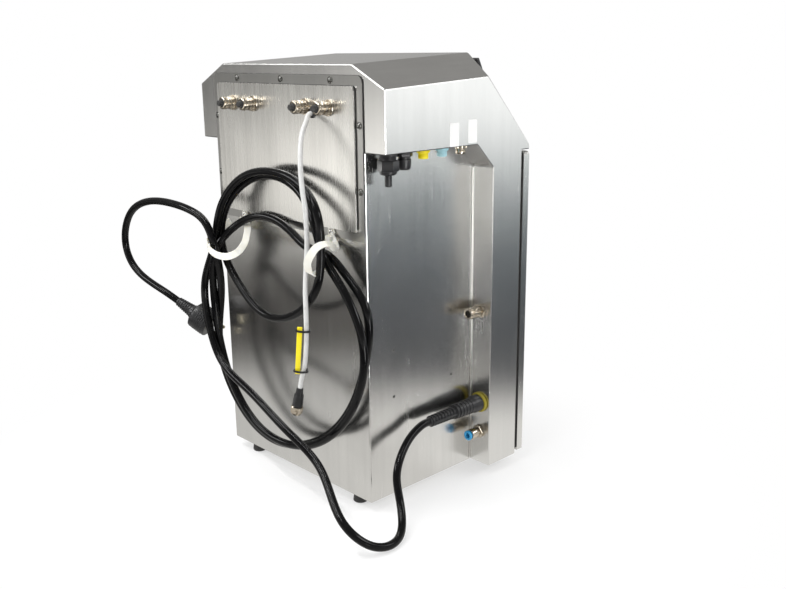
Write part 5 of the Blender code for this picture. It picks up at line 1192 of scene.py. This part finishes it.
def make_step_fittings():
    """Encoder socket, and the push-in air fitting with its blue release collar."""
    stand = facing(at(UNDER_PORT_X, -172.5, 217), OUT)
    socket = Piece("encoder_socket_shell")
    socket.add(turned([(0, -4), (5.8, -4), (5.8, 0.4), (8.4, 0.4), (8.4, 1.3), (0, 1.3)], 48), NICKEL, stand)
    socket.add(hexagon(16.5, 1.2, 5.2), NICKEL, stand @ Matrix.Rotation(0.2, 4, "Z"), smooth=False)
    socket.add(turned([(0, 5), (6.2, 5.2), (6.2, 6.4), (6.8, 6.8), (6.8, 13.2), (6.4, 13.7), (5.8, 14.0),
                       (5.8, 16.4),
                       (6.2, 16.8), (6.6, 17.2), (6.6, 23.2), (6.0, 24.3), (5.0, 24.5), (4.6, 24.1),
                       (4.4, 17.5), (0, 17.5)], 56), NICKEL, stand)
    socket.done("cabinet", "encoder_socket")
    core = Piece("encoder_socket_core")
    core.add(turned([(0, 17.4), (4.2, 17.4), (4.2, 20.6), (3.9, 21.2), (0, 21.2)], 40), BLACK, stand)
    for i in range(4):
        angle = math.pi / 4 + i * math.pi / 2
        pin = Matrix.Translation((0.0024 * math.cos(angle), 0.0024 * math.sin(angle), 0))
        core.add(turned([(0, 21.0), (0.5, 21.0), (0.5, 23.2), (0.3, 23.6), (0, 23.6)], 12),
                 BRASS_PIN, stand @ pin)
    core.done("cabinet")
    for label, reach, radius, length in (("knurl", 10.0, 6.8, 5.2), ("grip", 20.0, 6.6, 4.6)):
        KNURLS.make("encoder_socket_" + label, spots([at(UNDER_PORT_X, -172.5 + reach, 217)]), NICKEL,
                    "cabinet",
                    Radius=radius / 1000, Length=length / 1000, Depth=0.0005, Count=40, Facing=tuple(OUT))
    stand = facing(at(UNDER_PORT_X, -172.5, 57.5), OUT)
    fitting = Piece("air_fitting_body")
    fitting.add(ring_solid([(4.7, 0.4), (8.0, 0.4), (8.0, 1.1), (4.7, 1.1)], 40), NICKEL, stand)
    nut = hexagon(15.0, 1.0, 5.4)
    fitting.add(nut, NICKEL, stand @ Matrix.Rotation(0.15, 4, "Z"), smooth=False)
    fitting.add(ring_solid([(3.1, -5), (4.6, -5), (4.6, 5.3), (5.5, 5.4), (5.5, 7.2), (6.8, 7.9), (6.8, 18.0),
                            (6.3, 18.9), (4.8, 19.0), (4.7, 10), (3.1, 10)], 48), NICKEL, stand)
    fitting.done("cabinet", "air_fitting")
    collar = Piece("release_collar_ring")
    collar.add(ring_solid([(3.1, 12.2), (4.2, 12.2), (4.3, 20.8), (6.1, 20.9), (6.2, 22.2), (5.6, 23.0),
                           (3.6, 23.0), (3.1, 22.5)], 48), BLUE, stand)
    collar.done("collar", "release_collar")
    # Dark blue disc inside the fitting: painted shade for its bore.
    depths = Piece("air_fitting_bore_shade")
    depths.add(turned([(0, 10.2), (3.0, 10.2), (3.0, 10.8), (0, 10.8)], 32), BORE_SHADE_BLUE, stand)
    depths.done("cabinet")


def make_corner_highlight_bead():
    """The folded edge down the step's inner corner, as a thin pale strip: a painted highlight for the bright
    line there.
    """
    bead = Piece("step_corner_highlight_bead")
    bead.add(turned([(0, 16), (0.7, 16), (0.7, 391), (0, 391)], 24), FOLD_HIGHLIGHT_STEEL,
             Matrix.Translation(at(-140.0, -171.6, 0)))
    bead.done("cabinet")


def make_wall_holes():
    """Three small unused screw holes in the rear box's side: a bright pressed rim and a near-black disc,
    painted shade for the hole's depth.
    """
    holes = Piece("side_wall_holes")
    for out, z in ((-38.5, 193.4), (-136, 139), (-38.5, 136.4)):
        stand = facing(at(-139, out, z), (-1, 0, 0))
        holes.add(ring_solid([(1.3, 0.02), (2.3, 0.02), (2.0, 0.35), (1.5, 0.4)], 24), ZINC, stand)
        holes.add(turned([(0, 0.02), (1.3, 0.02), (1.3, 0.12), (0, 0.12)], 24), BORE_SHADE_BLACK, stand)
    holes.done("cabinet")


def make_stickers():
    """Two bare white stickers on the hood's side."""
    stickers = Piece("port_stickers")
    for out, z, wide, tall in ((-105.5, 436, 15, 26), (-135.5, 438, 15, 26)):
        stand = facing(at(-171.05, out, z), (-1, 0, 0), math.pi / 2)
        stickers.add(extruded([rounded(tall, wide, 1.2)], 0.16), LABEL, stand, smooth=False)
    stickers.done("cabinet")


def make_seal_ring():
    ring = Piece("inlet_seal_ring_body")
    ring.add(ring_solid([(8.8, 0.4), (12.2, 0.4), (12.5, 0.8), (12.5, 3.0), (11.7, 3.8), (8.8, 3.8)], 56),
             OLIVE, facing(at(UNDER_PORT_X, -172.5, 97), OUT))
    ring.done("cabinet", "inlet_seal_ring")
    KNURLS.make("inlet_seal_ring_grip", spots([at(UNDER_PORT_X, -170.6, 97)]), OLIVE, "cabinet",
                Radius=0.0124, Length=0.0020, Depth=0.0006, Count=36, Facing=tuple(OUT))


make_glands()
make_under_socket("sensor_socket", 72, YELLOW, BORE_SHADE_BLACK)
make_under_socket("beacon_socket", 102, PALE_BLUE, BORE_SHADE_BLACK)
make_under_socket("network_socket", 133, NICKEL, BORE_SHADE_BLACK)
make_step_fittings()
make_seal_ring()
make_corner_highlight_bead()
make_wall_holes()
make_stickers()


# ------------------------------------------------------------------ control panel, door latch and main switch
SLOPE = math.radians(62.55)
SLOPE_NORMAL = Matrix.Rotation(SLOPE, 3, "X") @ Vector((0, 0, 1))
PANEL_TOP = 4.3                               # the panel's face above the sloped sheet, in millimetres
SCREEN_TOP = 4.0
PANEL_MIDDLE = (0, -211.25, 469.8)            # across, out of the back face and above the floor
KEY_X, KEY_PITCH, KEY_TALL = 83, 23.5, 6.0


def on_slope(x, up, off=0.0):
    """A matrix on the sloped front: x and up lie in its plane, off stands out of it, in millimetres."""
    turn = Matrix.Rotation(SLOPE, 4, "X")
    seat = Matrix.Translation((x / 1000, up / 1000, off / 1000))
    return Matrix.Translation(at(*PANEL_MIDDLE)) @ turn @ seat


def make_keys():
    """Four soft keys: a rounded cap with a shallow dished top."""
    for row, (name, finish) in enumerate((("start", GREEN), ("up", GREY), ("down", GREY), ("stop", RED))):
        place = on_slope(KEY_X, (1.5 - row) * KEY_PITCH, PANEL_TOP + 1.2 - KEY_TALL)
        key = Piece(f"key_{name}_cap")
        bm = bmesh.new()
        outlines = [(18.0, 2.4, 0.0), (18.0, 2.4, 5.0), (17.6, 2.3, 5.6), (16.6, 2.0, 5.97), (15.0, 1.8, 5.9),
                    (10.0, 2.2, 5.6), (4.0, 1.8, 5.5)]
        rings = [[bm.verts.new((x / 1000, y / 1000, height / 1000))
                  for x, y in rounded(size, size, radius, 5)]
                 for size, radius, height in outlines]
        for low, high in zip(rings, rings[1:]):
            for i in range(len(low)):
                j = (i + 1) % len(low)
                bm.faces.new((low[i], low[j], high[j], high[i]))
        bm.faces.new(rings[0])
        bm.faces.new(rings[-1])
        bmesh.ops.recalc_face_normals(bm, faces=bm.faces)
        key.add(bm, finish, place)
        key.done(f"{name}_key", "key_" + name)


def make_panel_trim():
    """Screen bezel, the plate round the keys, two lamps and the panel's four screws."""
    trim = Piece("control_panel_trim")
    trim.add(extruded([rounded(157, 91, 3.0), rounded(151.8, 85.8, 1.6)], 0.8), BLACK,
             on_slope(-44, 0, PANEL_TOP + 0.3), smooth=False)
    key_ways = [rounded(19.0, 19.0, 2.9, middle=(KEY_X, (1.5 - row) * KEY_PITCH)) for row in range(4)]
    trim.add(extruded([rounded(25, 98, 5.0, middle=(KEY_X, 0)), *key_ways], 0.5), GREY,
             on_slope(0, 0, PANEL_TOP + 0.2), smooth=False)
    for up, finish in ((36, GREEN), (22, RED)):
        stand = on_slope(112, up, PANEL_TOP)
        trim.add(turned([(0, 0), (3.6, 0), (3.6, 0.7), (3.1, 1.2), (2.4, 1.2), (0, 1.0)], 32), NICKEL, stand)
        trim.add(turned([(0, 0.8), (2.3, 0.8), (2.2, 1.6), (1.3, 2.3), (0, 2.5)], 32), finish, stand)
    trim.done("cabinet")
    corners = [on_slope(x, y, PANEL_TOP + 0.1).to_translation() for x in (-121.0, 121.0)
               for y in (-44.5, 44.5)]
    SCREWS.make("control_panel_screws", spots(corners), ZINC, "cabinet", Head_Radius=0.0024,
                Head_Height=0.0015, Washer_Radius=0.0027, Washer_Height=0.0004, Facing=tuple(SLOPE_NORMAL))


def make_display():
    """The screen's bare picture: a status bar, eight menu frames and a foot line."""
    bar = moulded("display_bar", "screen_glass", (0.015, 0.07, 0.11), (0.02, 0.09, 0.14), 0.24)
    frame_line = moulded("display_line", "screen_glass", (0.12, 0.18, 0.21), (0.16, 0.22, 0.25), 0.24)
    display = Piece("display_picture")
    face = on_slope(0, 0, SCREEN_TOP + 0.05)
    display.add(extruded([rounded(144, 9, 1.0, middle=(-44, 35))], 0.06), bar, face, smooth=False)
    display.add(extruded([rounded(144, 0.8, 0.3, middle=(-44, -37))], 0.06), frame_line, face, smooth=False)
    for row in range(2):
        for column in range(4):
            middle = (-44 + (column - 1.5) * 35.5, 14 - row * 33)
            display.add(extruded([rounded(31, 28, 2.2, middle=middle),
                                  rounded(29.6, 26.6, 1.6, middle=middle)],
                                 0.06), frame_line, face, smooth=False)
    display.done("cabinet")


def make_latch():
    """Quarter-turn latch: knob with a grip bar outside, and its tongue behind the frame's lip."""
    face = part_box("door_panel")[0].y
    centre = Vector((-0.138, face, 0.212))
    stand = facing(centre, IN)
    knob = Piece("door_latch_knob")
    knob.add(turned([(0, -19.6), (3.8, -19.6), (3.8, 0.4), (15.0, 0.4), (15.9, 1.2), (15.9, 3.6), (14.6, 5.4),
                     (11.0, 5.9), (0, 5.9)], 64), BLACK, stand)
    knob.add(cuboid((-3.4, -15.2, 4.4), (3.4, 15.2, 13.9), 1.5, 3), BLACK, stand)
    knob.add(cuboid((-5.9, 17.2, -18.9), (5.9, 20.0, 5.9), 0.6), ZINC, Matrix.Translation(centre))
    knob.done("latch", "door_latch")
    KNURLS.make("door_latch_grip", spots([centre + IN * 0.0024]), BLACK, "latch", Radius=0.0156,
                Length=0.0022, Depth=0.0005, Count=48, Facing=tuple(IN))


def make_switch_trim():
    """A raised lip round the main switch."""
    low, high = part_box("switch_frame")
    lip = Piece("main_switch_lip")
    place = Matrix.Translation(((low.x + high.x) / 2, high.y + 0.0002, (low.z + high.z) / 2))
    lip.add(extruded([rounded(18.2, 27.2, 2.2), rounded(11.2, 19.8, 1.0)], 0.9), BLACK,
            place @ Matrix.Rotation(math.pi / 2, 4, "X"), smooth=False)
    lip.done("cabinet")


make_keys()
make_panel_trim()
make_display()
make_latch()
make_switch_trim()


# ------------------------------------------------------------------ inside the door
SOLENOID_X = [-0.048 + i * 0.032 for i in range(4)]
SUPPLY_TERMINALS = 9
PARTS_SEAT = 0.0096                           # small parts sit this far forward of the board's rearmost side
BOARD_TERMINALS, BOARD_TERMINAL_PITCH = 8, 0.019


def make_caps():
    """The two tanks' screw caps: a hollow shell with a vent, and its knurled grip."""
    for name, body in (("ink_cap", "ink_lid"), ("solvent_cap", "solvent_lid")):
        low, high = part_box(name)
        foot = Vector(((low.x + high.x) / 2, (low.y + high.y) / 2, low.z))
        cap = Piece(name + "_shell")
        cap.add(ring_solid([(16.5, 0.2), (19.8, 0.2), (20.2, 1.0), (20.2, 2.6), (19.6, 3.0), (19.6, 15.0),
                            (19.0, 17.0), (17.5, 17.9), (4.0, 17.9), (3.2, 16.6), (3.2, 12.8), (16.5, 12.8)],
                           64),
                BLACK, Matrix.Translation(foot))
        cap.add(turned([(0, 12.8), (3.4, 12.8), (3.4, 16.4), (0, 16.4)], 32), BLACK, Matrix.Translation(foot))
        cap.done(body, name)
        KNURLS.make(name + "_grip", spots([foot + UP * 0.0092]), BLACK, body, Radius=0.0196, Length=0.0110,
                    Depth=0.0008, Count=48, Facing=(0.0, 0.0, 1.0))


def make_tank_dress():
    """Level windows with bare graduation ribs, moulded belts, and a bare plate on each tank."""
    for name, finish in (("ink_tank", BLACK), ("solvent_tank", PALE_BLUE)):
        low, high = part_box(name)
        front = low.y * 1000
        middle = (low.x + high.x) * 500
        dress_up = Piece(name + "_dress")
        for z in (34, 180):
            dress_up.add(cuboid((middle - 50, front - 0.9, z - 1.5), (middle + 50, front + 0.4, z + 1.5),
                                0.6), TANK)
        dress_up.add(cuboid((middle - 40, front - 0.5, 84), (middle + 12, front + 0.3, 132), 0.2), LABEL)
        dress_up.add(cuboid((middle + 30, front - 0.8, 48), (middle + 38, front + 0.3, 166), 0.5), finish)
        dress_up.done("cabinet")
        ticks = line_of([Vector((middle + 44, front - 0.2, z)) / 1000 for z in (52, 107, 162)])
        TEETH.make(name + "_level_ribs", ticks, TANK, "cabinet", Spacing=0.010, Width=0.0080, Height=0.0008,
                   Across=(1.0, 0.0, 0.0))


def make_pump_dress():
    """Screws, two ports and a seal on the pump's head, and two belts round its motor."""
    low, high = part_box("pump_head")
    front = low.y
    corners = [Vector((x, front, z)) for x in (low.x + 0.007, high.x - 0.007)
               for z in (low.z + 0.007, high.z - 0.007)]
    SCREWS.make("pump_head_screws", spots(corners), ZINC, "cabinet", Head_Radius=0.0026, Head_Height=0.0018,
                Washer_Radius=0.0032, Washer_Height=0.0005, Facing=tuple(IN))
    middle = Vector(((low.x + high.x) / 2, front, (low.z + high.z) / 2))
    ports = Piece("pump_ports")
    for end, direction in ((high.z, UP), (low.z, DOWN)):
        stand = facing(Vector((middle.x, (low.y + high.y) / 2, end)), direction)
        ports.add(turned([(0, -0.5), (5.2, -0.5), (5.2, 3.4), (4.2, 3.8), (4.2, 8.5), (3.0, 9.2), (0, 9.2)],
                         32),
                  NICKEL, stand)
        ports.add(hexagon(11, 0.2, 3.0), NICKEL, stand, smooth=False)
    ports.add(ring_solid([(10.5, 0.02), (14.5, 0.02), (14.5, 1.0), (13.9, 1.5), (11.1, 1.5), (10.5, 1.0)],
                         56), ZINC,
              facing(middle, IN))
    ports.done("cabinet")
    low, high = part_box("pump_motor")
    axis = Vector((0, (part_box("pump_coupling")[0].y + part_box("pump_coupling")[1].y) / 2,
                   (low.z + high.z) / 2))
    belts = Piece("pump_motor_belts")
    for x in (low.x + 0.006, high.x - 0.006):
        belts.add(ring_solid([(20.6, -2.4), (21.8, -2.4), (22.1, -2.0), (22.1, 2.0), (21.8, 2.4),
                              (20.6, 2.4)], 56),
                  BLACK, facing(Vector((x, axis.y, axis.z)), (1, 0, 0)))
    belts.done("cabinet")


def make_valve_dress():
    """A nut on every solenoid, push-in outlets along the block's front, and ribs round each solenoid."""
    low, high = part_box("valve_block")
    middle_y = high.y - 0.017
    dress_up = Piece("valve_dress")
    for x in SOLENOID_X:
        cap = facing(Vector((x, middle_y, high.z)), UP)
        dress_up.add(hexagon(9, -0.6, 2.2), ZINC, cap, smooth=False)
        outlet = facing(Vector((x, low.y, 0.353)), IN)
        dress_up.add(turned([(0, -0.4), (5.6, -0.4), (5.6, 4.2), (4.8, 5.0), (0, 5.0)], 32), NICKEL, outlet)
        dress_up.add(ring_solid([(2.2, 4.9), (4.4, 4.9), (4.5, 6.6), (4.0, 7.2), (2.2, 7.2)], 32), BLUE,
                     outlet)
    dress_up.done("cabinet")
    rims = [line_of([Vector((x, middle_y, 0.368)), Vector((x, middle_y, 0.388))]) for x in SOLENOID_X]
    for i, rim in enumerate(rims):
        RIBS.make(f"solenoid_{i}_ribs", rim, BLACK, "cabinet", Count=4, Start_Radius=0.0105,
                  End_Radius=0.0105, Thickness=0.0007)


def make_board_parts():
    """A recipe that scatters small electronic parts over a sheet."""
    recipe = Recipe("board_parts", Seed=11, Density=7000.0)
    grown = recipe.node("GeometryNodeDistributePointsOnFaces", {"distribute_method": "POISSON"},
                        {0: recipe.given("Geometry"), "Distance Min": 0.0065,
                         "Density Max": recipe.given("Density"), "Seed": recipe.given("Seed")})
    cube = recipe.node("GeometryNodeMeshCube", {}, {"Size": (0.0032, 0.0016, 0.0012)})
    size = recipe.node("FunctionNodeRandomValue", {"data_type": "FLOAT"},
                       {2: 0.6, 3: 1.4, "Seed": recipe.given("Seed")}, 1)
    return recipe.close(recipe.node("GeometryNodeInstanceOnPoints", {},
                                    {0: grown, "Instance": cube, "Scale": size}))


def make_supply_dress():
    """The terminal rail along the top of the power supply, with a screw at each terminal."""
    low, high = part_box("power_supply")
    terminals = Piece("supply_terminals")
    rail = ((low.x + 0.012) * 1000, (high.x - 0.012) * 1000)
    terminals.add(cuboid((rail[0], (low.y + 0.006) * 1000, high.z * 1000 - 0.2),
                         (rail[1], (low.y + 0.018) * 1000, high.z * 1000 + 6), 0.6), BLACK)
    terminals.done("cabinet")
    tops = [Vector((rail[0] / 1000 + 0.006 + i * (rail[1] - rail[0] - 12) / 1000 / (SUPPLY_TERMINALS - 1),
                    low.y + 0.012, high.z + 0.006)) for i in range(SUPPLY_TERMINALS)]
    SCREWS.make("supply_terminal_screws", spots(tops), ZINC, "cabinet", Head_Radius=0.0024,
                Head_Height=0.0014, Washer_Radius=0.0034, Washer_Height=0.0004, Facing=tuple(UP))


def make_board_dress():
    """Small parts behind the control board, and a row of terminals near its upper and lower edges."""
    low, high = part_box("control_board")
    surface = high.y - PARTS_SEAT - 0.00005
    sheet = bpy.data.meshes.new("board_face")
    corners = [(low.x + 0.012, surface, low.z + 0.012), (high.x - 0.012, surface, low.z + 0.012),
               (high.x - 0.012, surface, high.z - 0.012), (low.x + 0.012, surface, high.z - 0.012)]
    sheet.from_pydata(corners, [], [(0, 1, 2, 3)])
    make_board_parts().make("board_parts", sheet, BLACK, "cabinet")
    rows = Piece("board_terminals")
    for z in (low.z + 0.010, high.z - 0.010):
        for i in range(BOARD_TERMINALS):
            x = (low.x + 0.030 + i * BOARD_TERMINAL_PITCH) * 1000
            rows.add(cuboid((x - 6, surface * 1000 - 8, z * 1000 - 4),
                            (x + 6, surface * 1000 + 0.1, z * 1000 + 4), 0.5),
                     GREEN)
    rows.done("cabinet")


make_caps()
make_tank_dress()
make_pump_dress()
make_valve_dress()
make_supply_dress()
make_board_dress()
